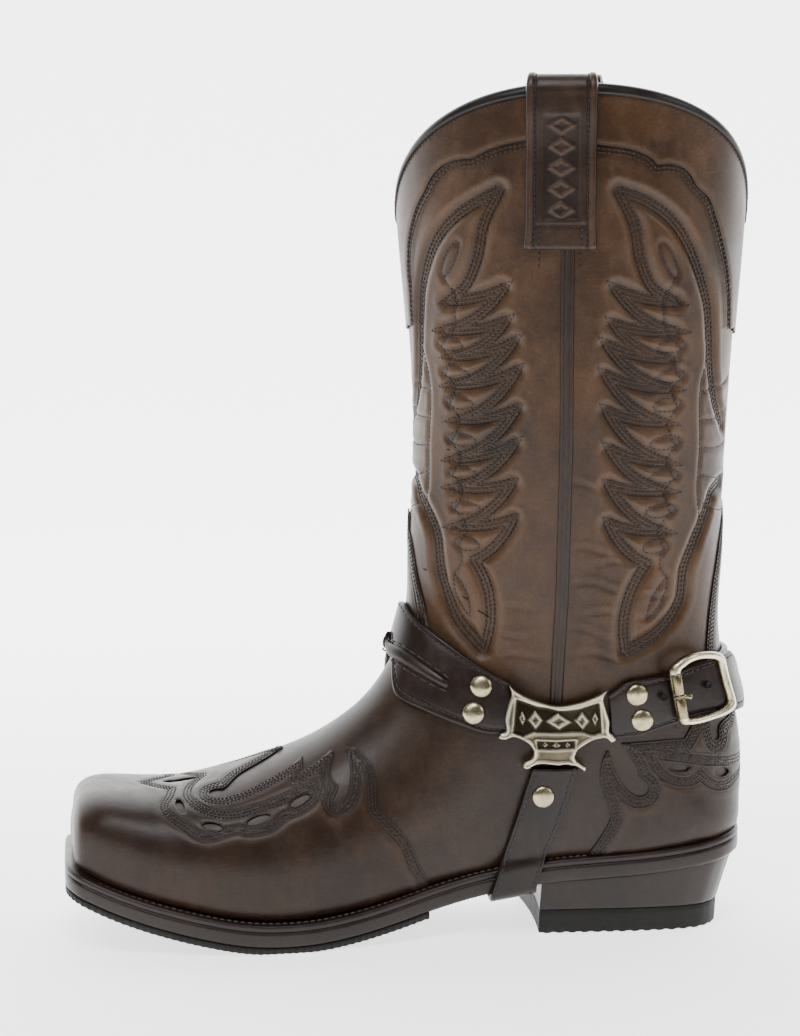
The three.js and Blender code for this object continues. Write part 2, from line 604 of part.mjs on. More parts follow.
// Pull straps folded over the topline; side-view middle by side
const PULLS = [
  { name: 'lateral', side: -1, x: -38 },
  { name: 'medial', side: 1, x: -16 },
]
const PULL_PATH = [
  [STRAP_LIFT + 0.2, 309], [STRAP_LIFT + 0.2, 330], [STRAP_LIFT + 0.4, 352], [STRAP_LIFT + 2.1, 368],
  [STRAP_LIFT + 2.1, 378.6], [2.4, 380.8], [-3, 380.8], [-5.4, 378.6], [-5.4, 366], [-4.2, 344], [-4, 322],
]
const PULL_EDGES = [-1, -0.33, 0.33, 1]
function pullStrap(pull) {
  const places = PULL_EDGES.map((w) => {
    const x = pull.x + PULL_WIDTH / 2 * w
    return PULL_PATH.map(([, z]) => ({ x, z }))
  })
  const rings = PULL_PATH.map(([lift, z], k) => {
    const before = PULL_PATH[Math.max(0, k - 1)]
    const after = PULL_PATH[Math.min(PULL_PATH.length - 1, k + 1)]
    const run = new THREE.Vector2(after[0] - before[0], after[1] - before[1]).normalize()
    const out = new THREE.Vector2(run.y, -run.x)
    const inner = places.map((place) => onSide(place[k].x, z, pull.side, lift))
    const outer = places.map((place) => {
      const x = place[k].x
      return onSide(x, z + out.y * PULL_THICK, pull.side, lift + out.x * PULL_THICK)
    })
    return [...inner, ...outer.reverse()]
  })
  return loft(rings)
}

// Piping of the side seams, between the plate and the pull strap (x, z)
const SEAMS = [
  { name: 'lateral', side: -1, edge: [[-37.2, 306], [-36.4, 190], [-38, 98], [-33.6, 98], [-32, 190], [-32.8, 306]] },
  { name: 'medial', side: 1, edge: [[-20.2, 306], [-24.6, 190], [-34.2, 98], [-29.8, 98], [-20.2, 190], [-15.8, 306]] },
]
const SEAM_THICK = 1.9
const seamLayer = layer(OVERLAY_LIFT, SEAM_THICK)
function sideSeam(seam) {
  const from = seam.side < 0 ? -90 : 8
  const to = seam.side < 0 ? -8 : 90
  return seamLayer.intersect(sidePrism(seam.edge, from, to))
}

// Binding folded over the topline, a channel with the wall and the collar's edge inside it;
// places across it (lift, height above the edge)
const BINDING_SECTION = [
  [2.4, -4.5], [3.4, -4.5], [3.2, 2.3], [-4.2, 2.3], [-4.4, -4.5], [-3.3, -4.5], [-3.3, 1.3], [2.4, 1.3],
]
function binding() {
  const positions = []
  const indices = []
  const count = BINDING_SECTION.length
  for (let j = 0; j < TOPLINE_STEPS; j += 1) {
    const angle = 2 * Math.PI * j / TOPLINE_STEPS
    BINDING_SECTION.forEach(([lift, rise]) => {
      const p = lifted(atHeight(angle, topline(angle) + rise), angle, lift)
      positions.push(p.x, p.y, p.z)
    })
    const next = (j + 1) % TOPLINE_STEPS
    for (let k = 0; k < count; k += 1) {
      const a = j * count + k
      const b = j * count + (k + 1) % count
      const c = next * count + k
      const d = next * count + (k + 1) % count
      indices.push(a, b, c, b, d, c)
    }
  }
  return facing(positions, indices)
}

// Buckle at the outer back: a frame bent to the ankle, a roller in two halves on its front
// bar and a short prong between them. Its own flat frame: u backwards round the ankle, w up.
const BUCKLE = { x: 34, y: -31, z: 110, turn: 46 }
const BUCKLE_OUTER = [
  [-19.5, 10.5], [-15, 14], [-6, 16], [4, 16.8], [14, 16.2], [21.5, 14], [24, 10], [26, 0], [28.6, -10],
  [27, -13.6], [18, -15.6], [6, -16.4], [-4, -16.8], [-9.5, -16.2], [-12, -13.5], [-15.5, -1.5],
]
const BUCKLE_INNER = [
  [-14.6, 8.2], [-12, 10.6], [-4, 12.4], [5, 13], [14, 12.4], [17.5, 11], [18.6, 9], [20.4, 0],
  [22.6, -8.6], [21.6, -10.4], [15, -11.9], [5, -12.8], [-4, -13], [-7.4, -12.2], [-8.4, -10.8], [-11.5, -1.3],
]
function bucklePrism(points) {
  const geometry = new THREE.ExtrudeGeometry(outlineShape(points), { depth: 60, bevelEnabled: false })
  geometry.translate(0, 0, -16)
  geometry.rotateX(Math.PI / 2)
  geometry.rotateZ(THREE.MathUtils.degToRad(BUCKLE.turn))
  geometry.translate(BUCKLE.x, BUCKLE.y, BUCKLE.z)
  return solid(geometry)
}
const FRAME_THICK = 3
const FRONT_BAR_CUT = [[-24, 9], [-14, 7], [-8, -11], [-9.5, -13.2], [-16, -17], [-26, -10]]
const frameLayer = layer(OVER_END_LIFT, FRAME_THICK)
const BAR_LIFT = OVER_END_LIFT + FRAME_THICK / 2
function onBuckle(u, w, lift) {
  const turn = THREE.MathUtils.degToRad(BUCKLE.turn)
  const [station, angle] = nearest((s, a) => {
    const p = lifted(s, a, lift)
    const across = (p.x - BUCKLE.x) * Math.cos(turn) + (p.y - BUCKLE.y) * Math.sin(turn)
    return (across - u) ** 2 + (p.z - BUCKLE.z - w) ** 2
  }, STATIONS[18], 60, 2.2, 0.8)
  return lifted(station, angle, lift)
}
const BAR_TOP = onBuckle(-16.2, 11.4, BAR_LIFT)
const BAR_BOTTOM = onBuckle(-9.4, -13.8, BAR_LIFT)
const BAR_RADIUS = 1.3
const ROLLER_RADIUS = 2.7
const ROLLER_BORE = 1.7
const BAR_STEPS = 10

// Round bar along the front bar's line between two shares of its length
function bar(radius, from, to) {
  const start = BAR_TOP.clone().lerp(BAR_BOTTOM, from)
  const end = BAR_TOP.clone().lerp(BAR_BOTTOM, to)
  const axis = end.clone().sub(start)
  const geometry = new THREE.CylinderGeometry(radius, radius, axis.length(), BAR_STEPS)
  const turn = new THREE.Quaternion()
  turn.setFromUnitVectors(new THREE.Vector3(0, 1, 0), axis.normalize())
  geometry.applyQuaternion(turn)
  const middle = start.add(end).multiplyScalar(0.5)
  geometry.translate(middle.x, middle.y, middle.z)
  return solid(geometry)
}
const buckleFrame = frameLayer
  .intersect(bucklePrism(BUCKLE_OUTER))
  .subtract(bucklePrism(BUCKLE_INNER))
  .subtract(bucklePrism(FRONT_BAR_CUT))
  .add(bar(BAR_RADIUS, 0.02, 0.98))
const roller = (from, to) => bar(ROLLER_RADIUS, from, to).subtract(bar(ROLLER_BORE, from - 0.1, to + 0.1))
const rollerUpper = roller(0.2, 0.455)
const rollerLower = roller(0.545, 0.84)

// Prong: an eye round the bar between the roller's halves, and its point over the strap
function prong() {
  const root = BAR_TOP.clone().lerp(BAR_BOTTOM, 0.5)
  const tip = onBuckle(-7, 0.3, ON_STRAP_LIFT + 2.3)
  const axis = tip.clone().sub(root)
  const geometry = new THREE.CylinderGeometry(0.9, 1.1, axis.length(), 8)
  const turn = new THREE.Quaternion()
  turn.setFromUnitVectors(new THREE.Vector3(0, 1, 0), axis.clone().normalize())
  geometry.applyQuaternion(turn)
  const middle = root.clone().add(tip).multiplyScalar(0.5)
  geometry.translate(middle.x, middle.y, middle.z)
  return bar(ROLLER_RADIUS, 0.47, 0.53)
    .add(solid(geometry))
    .subtract(bar(ROLLER_BORE, 0.3, 0.7))
}

const parts = []
function add(name, shape, color, roughness, metalness = 0) {
  const mesh = shape.getMesh()
  const geometry = new THREE.BufferGeometry()
  geometry.setAttribute('position', new THREE.BufferAttribute(new Float32Array(mesh.vertProperties), 3))
  geometry.setIndex(new THREE.BufferAttribute(new Uint32Array(mesh.triVerts), 1))
  geometry.computeVertexNormals()
  const material = new THREE.MeshStandardMaterial({ color, roughness, metalness })
  const piece = new THREE.Mesh(geometry, material)
  piece.name = name
  parts.push(piece)
}

const LEATHER = 0x5a4636
const VAMP_LEATHER = 0x463831
const STRAP_LEATHER = 0x352b28
const EDGE_LEATHER = 0x3e302d
const BLACK = 0x232120
const RUBBER = 0x2b2a29
const BRASS = 0xc8c3a0
const PEWTER = 0x7d7662

add('upper', upper, LEATHER, 0.5)
add('collar', collar, LEATHER, 0.5)
add('topline_binding', binding(), BLACK, 0.5)
add('toe_overlay', toeOverlay, VAMP_LEATHER, 0.45)
add('tongue', tongue, VAMP_LEATHER, 0.5)
add('counter', counter, VAMP_LEATHER, 0.45)
SEAMS.forEach((seam) => add(`side_seam_${seam.name}`, sideSeam(seam), STRAP_LEATHER, 0.5))
PULLS.forEach((pull) => add(`pull_strap_${pull.name}`, pullStrap(pull), VAMP_LEATHER, 0.5))
add('insole', insole, 0x9a8466, 0.8)
add('welt', welt, EDGE_LEATHER, 0.6)
add('outsole', outsole, EDGE_LEATHER, 0.5)
add('half_sole', halfSole, RUBBER, 0.8)
add('heel_block', heelBlock, EDGE_LEATHER, 0.45)
add('heel_lift', heelLift, RUBBER, 0.8)
add('strap_front', frontStrap, STRAP_LEATHER, 0.45)
add('strap_front_band', frontKeeper, STRAP_LEATHER, 0.45)
add('strap_back', backStrap, STRAP_LEATHER, 0.45)
add('strap_free_end', endStrap, STRAP_LEATHER, 0.45)
add('strap_under', strapUnder, STRAP_LEATHER, 0.45)
add('plate_lateral', outerPlate, PEWTER, 0.4, 1)
add('plate_medial', innerPlate, PEWTER, 0.4, 1)
RIVETS.forEach((r) => add(`rivet_lateral_${r.name}`, rivet(r.x, r.z, -1), BRASS, 0.35, 1))
RIVETS.forEach((r) => add(`rivet_medial_${r.name}`, rivet(r.x, r.z, 1), BRASS, 0.35, 1))
add('buckle_frame', buckleFrame, BRASS, 0.35, 1)
add('buckle_roller_upper', rollerUpper, BRASS, 0.35, 1)
add('buckle_roller_lower', rollerLower, BRASS, 0.35, 1)
add('buckle_prong', prong(), BRASS, 0.35, 1)

const boot = new THREE.Group()
boot.add(...parts)
export default boot
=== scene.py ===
"""Dresses the left harness boot: stitched leather, welted sole, stacked heel, riveted harness.

Sizes are in millimetres unless a name says otherwise; meshes are written in metres.
+Z is up, the toe points to -X and the outer side of the foot to -Y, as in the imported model.
"""
import math

import bpy
import numpy as np
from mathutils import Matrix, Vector


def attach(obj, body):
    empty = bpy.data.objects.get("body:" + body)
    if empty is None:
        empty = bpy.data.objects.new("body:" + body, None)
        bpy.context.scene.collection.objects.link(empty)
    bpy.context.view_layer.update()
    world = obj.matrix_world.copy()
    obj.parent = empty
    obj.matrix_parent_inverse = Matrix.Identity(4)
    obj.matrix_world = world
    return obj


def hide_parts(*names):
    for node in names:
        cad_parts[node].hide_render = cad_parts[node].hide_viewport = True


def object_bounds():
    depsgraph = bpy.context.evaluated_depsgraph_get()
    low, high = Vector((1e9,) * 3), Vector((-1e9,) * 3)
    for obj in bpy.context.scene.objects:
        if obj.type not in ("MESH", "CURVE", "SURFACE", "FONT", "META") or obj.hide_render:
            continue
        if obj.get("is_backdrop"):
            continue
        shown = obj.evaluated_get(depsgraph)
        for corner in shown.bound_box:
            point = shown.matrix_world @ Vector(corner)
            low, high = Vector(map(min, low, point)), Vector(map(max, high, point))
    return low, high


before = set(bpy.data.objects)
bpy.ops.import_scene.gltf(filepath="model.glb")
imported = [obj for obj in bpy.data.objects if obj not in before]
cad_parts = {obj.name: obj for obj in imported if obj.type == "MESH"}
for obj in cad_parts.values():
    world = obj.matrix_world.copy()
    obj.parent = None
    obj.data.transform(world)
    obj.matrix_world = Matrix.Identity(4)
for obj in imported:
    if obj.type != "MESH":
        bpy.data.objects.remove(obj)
CAD_BOX = [list(corner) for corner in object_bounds()]


# Camera
# It stands 1.28 m from the boot's middle, a little towards the toe and above the boot.
# The lens follows from 2.22 picture pixels to the millimetre at that distance.
PICTURE_HEIGHT = 1036
PIXELS_PER_MM = 2.22
CAMERA_DISTANCE = 1.28
CAMERA_TARGET = Vector((-0.1015, 0.0, 0.186))
CAMERA_YAW = math.radians(6.3)
CAMERA_PITCH = math.radians(8.3)

lens = bpy.data.cameras.new("lens")
lens.sensor_width = 36
lens.lens = PIXELS_PER_MM * 1000 * CAMERA_DISTANCE / PICTURE_HEIGHT * lens.sensor_width
lens.clip_end = 20
camera = bpy.data.objects.new("camera", lens)
backwards = Vector((
    -math.sin(CAMERA_YAW) * math.cos(CAMERA_PITCH),
    -math.cos(CAMERA_YAW) * math.cos(CAMERA_PITCH),
    math.sin(CAMERA_PITCH),
))
camera.location = CAMERA_TARGET + backwards * CAMERA_DISTANCE
camera.rotation_euler = backwards.to_track_quat("Z", "Y").to_euler()
bpy.context.scene.collection.objects.link(camera)
bpy.context.scene.camera = camera


# Floor and studio light
# A plain pale floor that curves up behind as a lit studio cove, a dim pale room, and three
# large soft lamps: one high at the front, one from the toe's side, one from the heel's side.
FLOOR_COLOUR = (0.93, 0.93, 0.93, 1)
ROOM_COLOUR = (1.0, 1.0, 1.0, 1)
FLOOR_GLOW = (1.8, 4.0)
GLOW_CHANGES = (-0.2, 0.8)
FLOOR_ROUGHNESS = 0.8
ROOM_GLOW = 0.15
# The cove in metres: front edge, start of the curve, its radius, the wall's top, half width
COVE_FRONT, COVE_BACK, COVE_RADIUS, WALL_TOP, COVE_HALF = -1.1, 1.0, 1.4, 7.0, 7
LAMPS = {
    # name: place in metres, size in metres, power in watts
    "lamp_high": ((-0.30, -0.80, 1.4), 0.6, 14),
    "lamp_toe": ((-1.0, -1.1, 1.2), 0.5, 5),
    "lamp_heel": ((1.1, -0.8, 0.9), 0.5, 5),
}

cove_way = [(COVE_FRONT, 0.0), (COVE_BACK, 0.0)]
cove_way += [
    (COVE_BACK + COVE_RADIUS * math.sin(t), COVE_RADIUS - COVE_RADIUS * math.cos(t))
    for t in np.linspace(0.1, math.pi / 2, 14)
]
cove_way += [(COVE_BACK + COVE_RADIUS, WALL_TOP)]
floor_mesh = bpy.data.meshes.new("floor")
floor_mesh.from_pydata(
    [(x, y, z) for y, z in cove_way for x in (-COVE_HALF, COVE_HALF)], [],
    [(2 * i, 2 * i + 1, 2 * i + 3, 2 * i + 2) for i in range(len(cove_way) - 1)],
)
floor_mesh.polygons.foreach_set("use_smooth", [True] * len(floor_mesh.polygons))
floor = bpy.data.objects.new("floor", floor_mesh)
bpy.context.scene.collection.objects.link(floor)
floor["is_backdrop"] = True
floor_finish = bpy.data.materials.new("pale_floor")
floor_finish.use_nodes = True
floor_shader = floor_finish.node_tree.nodes["Principled BSDF"]
floor_shader.inputs["Base Color"].default_value = FLOOR_COLOUR
floor_shader.inputs["Roughness"].default_value = FLOOR_ROUGHNESS
floor_shader.inputs["Emission Color"].default_value = FLOOR_COLOUR
floor_tree = floor_finish.node_tree
floor_place = floor_tree.nodes.new("ShaderNodeTexCoord")
floor_split = floor_tree.nodes.new("ShaderNodeSeparateXYZ")
floor_ramp = floor_tree.nodes.new("ShaderNodeMapRange")
floor_ramp.interpolation_type = "SMOOTHSTEP"
for key, value in zip(("From Min", "From Max", "To Min", "To Max"), GLOW_CHANGES + FLOOR_GLOW):
    floor_ramp.inputs[key].default_value = value
floor_tree.links.new(floor_place.outputs["Object"], floor_split.inputs["Vector"])
floor_tree.links.new(floor_split.outputs["Y"], floor_ramp.inputs["Value"])
floor_tree.links.new(floor_ramp.outputs["Result"], floor_shader.inputs["Emission Strength"])
floor_mesh.materials.append(floor_finish)

room = bpy.data.worlds.new("room")
room.use_nodes = True
room.node_tree.nodes["Background"].inputs["Color"].default_value = ROOM_COLOUR
room.node_tree.nodes["Background"].inputs["Strength"].default_value = ROOM_GLOW
bpy.context.scene.world = room

for lamp_name, (place, size, power) in LAMPS.items():
    lamp_data = bpy.data.lights.new(lamp_name, "AREA")
    lamp_data.size = size
    lamp_data.energy = power
    lamp = bpy.data.objects.new(lamp_name, lamp_data)
    lamp.location = place
    lamp.rotation_euler = (Vector(place) - CAMERA_TARGET).to_track_quat("Z", "Y").to_euler()
    bpy.context.scene.collection.objects.link(lamp)


# Upper
# The boot's own leather: one skin from the toe over the instep to the shaft's mouth, made
# over the last. All that is sewn or strapped on the boot is lifted off this skin.
SOLE_LENGTH = 307
HEEL_BACK = 53
THROAT_HEIGHT = 148
TOP_HEIGHT = 376
BALL_WIDTH = 103
TUCK = 4
TOPLINE_DIP = 320
TOPLINE_RISE = 57
BACK_CURVE = 0.78
SHAFT_FROM = 14

# Height of the welt's top: share of the sole's length from the heel's back, mm
WELT_TOP = [
    (-0.020, 45.2), (0, 44.6), (0.030, 43.0), (0.075, 40.6), (0.140, 38.1), (0.220, 36.3),
    (0.303, 34.3), (0.352, 32.0), (0.407, 28.8), (0.459, 24.9), (0.524, 19.4), (0.577, 15.9),
    (0.625, 13.7), (0.678, 12.8), (0.743, 13.9), (0.795, 16.9), (0.840, 20.2), (0.886, 24.1),
    (0.938, 29.4), (0.965, 32.7), (0.987, 35.5), (1.000, 37.2), (1.050, 43.5),
]
# Sections fanned from upright at the toe to level in the shaft: front and back ends as shares
# of the length and heights (0 back height: on the welt), half widths as shares of the ball's
# width, the widest place's share from the back, powers that square the ends, twist in degrees
SECTIONS = [
    # front along, front height, back along, back height, lateral, medial, belly, powers, twist
    (0.9832, 0.372, 0.9832, 0.270, 0.165, 0.184, 0.50, 3.00, 3.0, 0),
    (0.9822, 0.392, 0.9822, 0.250, 0.223, 0.248, 0.48, 3.10, 3.2, 0),
    (0.9795, 0.412, 0.9795, 0.215, 0.267, 0.291, 0.46, 3.20, 3.8, 0),
    (0.9735, 0.430, 0.9735, 0, 0.301, 0.325, 0.44, 3.20, 4.5, 0),
    (0.9630, 0.442, 0.9630, 0, 0.325, 0.350, 0.42, 3.20, 4.5, 0),
    (0.9480, 0.448, 0.9480, 0, 0.350, 0.369, 0.42, 3.20, 4.5, 0),
    (0.9190, 0.449, 0.9190, 0, 0.382, 0.396, 0.41, 3.00, 4.5, 0),
    (0.8890, 0.446, 0.8890, 0, 0.408, 0.417, 0.40, 2.80, 4.5, 0),
    (0.8240, 0.452, 0.8240, 0, 0.442, 0.442, 0.38, 2.50, 4.5, 0),
    (0.7590, 0.487, 0.7520, 0, 0.461, 0.451, 0.36, 2.20, 4.5, 0),
    (0.6940, 0.537, 0.6740, 0, 0.456, 0.432, 0.34, 2.05, 4.5, 0),
    (0.6290, 0.596, 0.5900, 0, 0.422, 0.388, 0.34, 1.95, 4.5, 0),
    (0.5700, 0.680, 0.4980, 0, 0.374, 0.335, 0.34, 1.90, 4.5, 0),
    (0.5310, 0.775, 0.3880, 0, 0.350, 0.320, 0.36, 1.90, 5.2, 0),
    (0.5050, 0.883, 0.2640, 0, 0.354, 0.340, 0.39, 1.95, 6.0, 0),
    (0.4920, 0.970, 0.1480, 0, 0.364, 0.354, 0.41, 2.00, 6.5, 1),
    (0.4880, 1.015, 0.0640, 0, 0.369, 0.364, 0.43, 2.05, 5.0, 2),
    (0.4870, 1.036, 0.0200, 0, 0.372, 0.369, 0.44, 2.05, 3.6, 2.3),
    (0.4868, 1.050, 0.0060, 0.290, 0.375, 0.373, 0.45, 2.05, 2.9, 2.5),
    (0.4865, 1.064, -0.0003, 0.400, 0.378, 0.377, 0.46, 2.05, 2.6, 2.7),
    (0.4866, 1.084, -0.0020, 0.510, 0.382, 0.382, 0.47, 2.10, 2.4, 3),
    (0.4870, 1.110, 0.0055, 0.645, 0.388, 0.388, 0.48, 2.10, 2.2, 3.5),
    (0.4870, 1.150, 0.0240, 0.778, 0.401, 0.401, 0.49, 2.10, 2.1, 4),
    (0.4850, 1.205, 0.0340, 0.912, 0.417, 0.417, 0.50, 2.10, 2.1, 5),
    (0.4830, 1.290, 0.0310, 1.096, 0.447, 0.447, 0.50, 2.10, 2.1, 6.5),
    (0.4830, 1.400, 0.0260, 1.294, 0.481, 0.481, 0.50, 2.10, 2.1, 8),
    (0.4890, 1.535, 0.0180, 1.500, 0.505, 0.505, 0.50, 2.10, 2.1, 9),
    (0.5035, 1.763, 0.0052, 1.757, 0.529, 0.529, 0.50, 2.10, 2.1, 9),
    (0.5090, 2.060, -0.0020, 2.060, 0.539, 0.539, 0.50, 2.10, 2.1, 9),
]


def run_along(points):
    """Running length of a line of places: the summed distances between neighbours, from zero."""
    return np.concatenate([[0], np.cumsum(np.linalg.norm(np.diff(points, axis=0), axis=1))])


def flowing(keys, rows):
    """Smooth curve through rows at their keys: cubic pieces, each slope the mean of its two sides'."""
    keys = np.asarray(keys, float)
    rows = np.asarray(rows, float)
    gap = np.diff(keys)[:, None]
    rise = np.diff(rows, axis=0) / gap
    slope = np.empty_like(rows)
    slope[1:-1] = (rise[:-1] * gap[1:] + rise[1:] * gap[:-1]) / (gap[1:] + gap[:-1])
    slope[0], slope[-1] = rise[0], rise[-1]

    def at(key):
        key = np.asarray(key, float)
        i = np.clip(np.searchsorted(keys, key) - 1, 0, len(keys) - 2)
        u = ((key - keys[i]) / (keys[i + 1] - keys[i]))[..., None]
        span = gap[i]
        return ((1 + 2 * u) * (1 - u) ** 2 * rows[i] + u * (1 - u) ** 2 * span * slope[i]
                + u * u * (3 - 2 * u) * rows[i + 1] + u * u * (u - 1) * span * slope[i + 1])

    return at


welt_curve = flowing([row[0] for row in WELT_TOP], [[row[1]] for row in WELT_TOP])


def welt_top(x):
    """Height of the welt's top at a place along the boot."""
    return welt_curve((HEEL_BACK - np.asarray(x, float)) / SOLE_LENGTH)[..., 0]


def form_rows():
    """The sections' table in millimetres."""
    rows = np.array(SECTIONS, float)
    heights = np.where(
        rows[:, [1, 3]] <= 1,
        rows[:, [1, 3]] * THROAT_HEIGHT,
        THROAT_HEIGHT + (rows[:, [1, 3]] - 1) * (TOP_HEIGHT - THROAT_HEIGHT),
    )
    back_x = HEEL_BACK - rows[:, 2] * SOLE_LENGTH
    back_z = np.where(rows[:, 3] == 0, welt_top(back_x) - TUCK, heights[:, 1])
    ends = np.stack([HEEL_BACK - rows[:, 0] * SOLE_LENGTH, heights[:, 0], back_x, back_z], 1)
    return np.hstack([ends, rows[:, 4:6] * BALL_WIDTH, rows[:, 6:]])


FORM = form_rows()
STATIONS = run_along(FORM[:, :6])
LAST_STATION = STATIONS[-1]
form_at = flowing(STATIONS, FORM)
# The closed end of the toe: stations below zero that shrink the first section, and its bulge
TOE_CAP = 14.0
TOE_BULGE = 1.2


def skin(station, angle):
    """Points of the upper: a squared ellipse about each section's chord, turned by its twist.

    The angle runs from the front line by the outer side. Below station 0 the first section
    shrinks to its middle and bulges a little, which closes the toe.
    """
    station, angle = np.broadcast_arrays(np.asarray(station, float), np.asarray(angle, float))
    row = form_at(np.clip(station, 0, LAST_STATION))
    front_x, front_z, back_x, back_z, lateral, medial, belly = np.moveaxis(row[..., :7], -1, 0)
    front_power, back_power, twist = np.moveaxis(row[..., 7:], -1, 0)
    cosine, sine = np.cos(angle), np.sin(angle)
    power = 2 / np.where(cosine >= 0, front_power, back_power)
    chord = np.hypot(front_x - back_x, front_z - back_z)
    reach = np.sign(cosine) * np.abs(cosine) ** power * np.where(cosine >= 0, 1 - belly, belly) * chord
    width = np.sign(sine) * np.abs(sine) ** power * np.where(sine >= 0, lateral, medial)
    turn = np.radians(twist)
    ahead = reach * np.cos(turn) + width * np.sin(turn)
    aside = width * np.cos(turn) - reach * np.sin(turn)
    shrink = np.clip(1 + station / TOE_CAP, 0, 1)
    share = belly + (1 - belly * 2) / 2 * (1 - shrink) + ahead * shrink / chord
    return np.stack([
        back_x + (front_x - back_x) * share - TOE_BULGE * (1 - shrink ** 2),
        -aside * shrink,
        back_z + (front_z - back_z) * share,
    ], -1)


def outward(station, angle):
    """The upper's outward direction: the way round crossed with the way up, from small steps."""
    up_step, round_step = 0.4, 0.012
    low = np.clip(np.asarray(station, float) - up_step, -TOE_CAP, LAST_STATION)
    high = np.clip(np.asarray(station, float) + up_step, -TOE_CAP, LAST_STATION)
    around = skin(station, np.asarray(angle) + round_step) - skin(station, np.asarray(angle) - round_step)
    up = skin(high, angle) - skin(low, angle)
    normal = np.cross(around, up)
    return normal / np.maximum(np.linalg.norm(normal, axis=-1, keepdims=True), 1e-9)


def topline(angle):
    """Height of the shaft's edge: low at the front and back lines, high at the sides."""
    turned = np.abs(np.arctan2(np.sin(angle), np.cos(angle))) / (math.pi / 2)
    share = np.where(turned <= 1, turned, 2 - turned)
    return TOPLINE_DIP + TOPLINE_RISE * (1 - (1 - share) ** 2) ** np.where(turned <= 1, 1, BACK_CURVE)


def at_height(angle, z, rounds=26):
    """Stations of the shaft at a height: the span is halved towards the height at each round."""
    angle, z = np.broadcast_arrays(np.asarray(angle, float), np.asarray(z, float))
    low = np.full(angle.shape, STATIONS[SHAFT_FROM])
    high = np.full(angle.shape, LAST_STATION)
    for _ in range(rounds):
        middle = (low + high) / 2
        below = skin(middle, angle)[..., 2] < z
        low = np.where(below, middle, low)
        high = np.where(below, high, middle)
    return (low + high) / 2


def station_at(angle, z):
    """Station of one place on the shaft, from its angle and height."""
    return at_height(np.array([angle]), z)[0]


def grid_faces(rows, columns, closed=False):
    """Quads of a grid of points, numbered row by row."""
    i, j = np.meshgrid(np.arange(rows - 1), np.arange(columns if closed else columns - 1), indexing="ij")
    after = (j + 1) % columns
    corners = (i * columns + j, (i + 1) * columns + j, (i + 1) * columns + after, i * columns + after)
    return np.stack(corners, -1).reshape(-1, 4)


def make_piece(name, points, faces, material, slot, replaces=(), values=None, sharp=None):
    """A mesh in metres from points in millimetres and lists of faces, riding on the boot."""
    lists = faces if isinstance(faces, list) else [faces]
    lists = [np.asarray(part, np.int32) for part in lists if len(part)]
    mesh = bpy.data.meshes.new(name)
    points = np.asarray(points, float).reshape(-1, 3)
    mesh.vertices.add(len(points))
    mesh.vertices.foreach_set("co", (points * 0.001).astype(np.float32).ravel())
    corners = np.concatenate([part.ravel() for part in lists])
    sizes = np.concatenate([np.full(len(part), part.shape[1]) for part in lists])
    mesh.loops.add(len(corners))
    mesh.loops.foreach_set("vertex_index", corners)
    mesh.polygons.add(len(sizes))
    mesh.polygons.foreach_set("loop_start", np.concatenate([[0], np.cumsum(sizes)[:-1]]).astype(np.int32))
    mesh.polygons.foreach_set("use_smooth", np.ones(len(sizes), bool))
    for key, value in (values or {}).items():
        layer = mesh.attributes.new(key, "FLOAT", "POINT")
        layer.data.foreach_set("value", np.asarray(value, np.float32).ravel())
    mesh.update(calc_edges=True)
    mesh.validate()
    if sharp is not None:
        mesh.set_sharp_from_angle(angle=math.radians(sharp))
    mesh.materials.append(material)
    piece = bpy.data.objects.new(name, mesh)
    bpy.context.scene.collection.objects.link(piece)
    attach(piece, "root")
    if replaces:
        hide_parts(*replaces)
    return piece


def node(tree, kind, wires=None, **settings):
    """Adds a shader node; wires join its inputs to outputs, or set them."""
    made = tree.nodes.new(kind)
    for key, value in settings.items():
        setattr(made, key, value)
    for key, value in (wires or {}).items():
        if isinstance(value, bpy.types.NodeSocket):
            tree.links.new(value, made.inputs[key])
        else:
            made.inputs[key].default_value = value
    return made


def fresh_material(name, roughness, metallic=0.0, coat=0.0, coat_roughness=0.2, specular=0.5):
    """A material with its shader's plain numbers set; returns it, its tree and its shader."""
    material = bpy.data.materials.new(name)
    material.use_nodes = True
    tree = material.node_tree
    shader = tree.nodes["Principled BSDF"]
    shader.inputs["Roughness"].default_value = roughness
    shader.inputs["Metallic"].default_value = metallic
    shader.inputs["Coat Weight"].default_value = coat
    shader.inputs["Coat Roughness"].default_value = coat_roughness
    shader.inputs["Specular IOR Level"].default_value = specular
    return material, tree, shader


def mixed(tree, share, first, second, mode="MIX"):
    """Blends two colours by a share."""
    mix = node(tree, "ShaderNodeMix", data_type="RGBA", blend_type=mode)
    for slot_name, value in ((0, share), (6, first), (7, second)):
        if isinstance(value, bpy.types.NodeSocket):
            tree.links.new(value, mix.inputs[slot_name])
        else:
            mix.inputs[slot_name].default_value = value if slot_name == 0 else (*value[:3], 1)
    return mix.outputs[2]


def ranged(tree, value, low, high, to_low=0.0, to_high=1.0):
    """Maps a value's range to another, clamped."""
    return node(tree, "ShaderNodeMapRange", {
        "Value": value, "From Min": low, "From Max": high, "To Min": to_low, "To Max": to_high,
    }).outputs["Result"]


def noise(tree, place, scale, detail, roughness=0.5, distortion=0.0, stretch=None):
    """Grey clouds over a place, which may be stretched first."""
    if stretch is not None:
        place = node(tree, "ShaderNodeMapping", {"Vector": place, "Scale": stretch}).outputs["Vector"]
    return node(tree, "ShaderNodeTexNoise", {
        "Vector": place, "Scale": scale, "Detail": detail, "Roughness": roughness, "Distortion": distortion,
    }).outputs["Fac"]


def share_of(tree, name):
    """A mesh's own value at each place, by its name."""
    return node(tree, "ShaderNodeAttribute", attribute_name=name).outputs["Fac"]


def counted(tree, operation, first, second=0.0):
    """One sum of two values."""
    return node(tree, "ShaderNodeMath", {0: first, 1: second}, operation=operation).outputs["Value"]


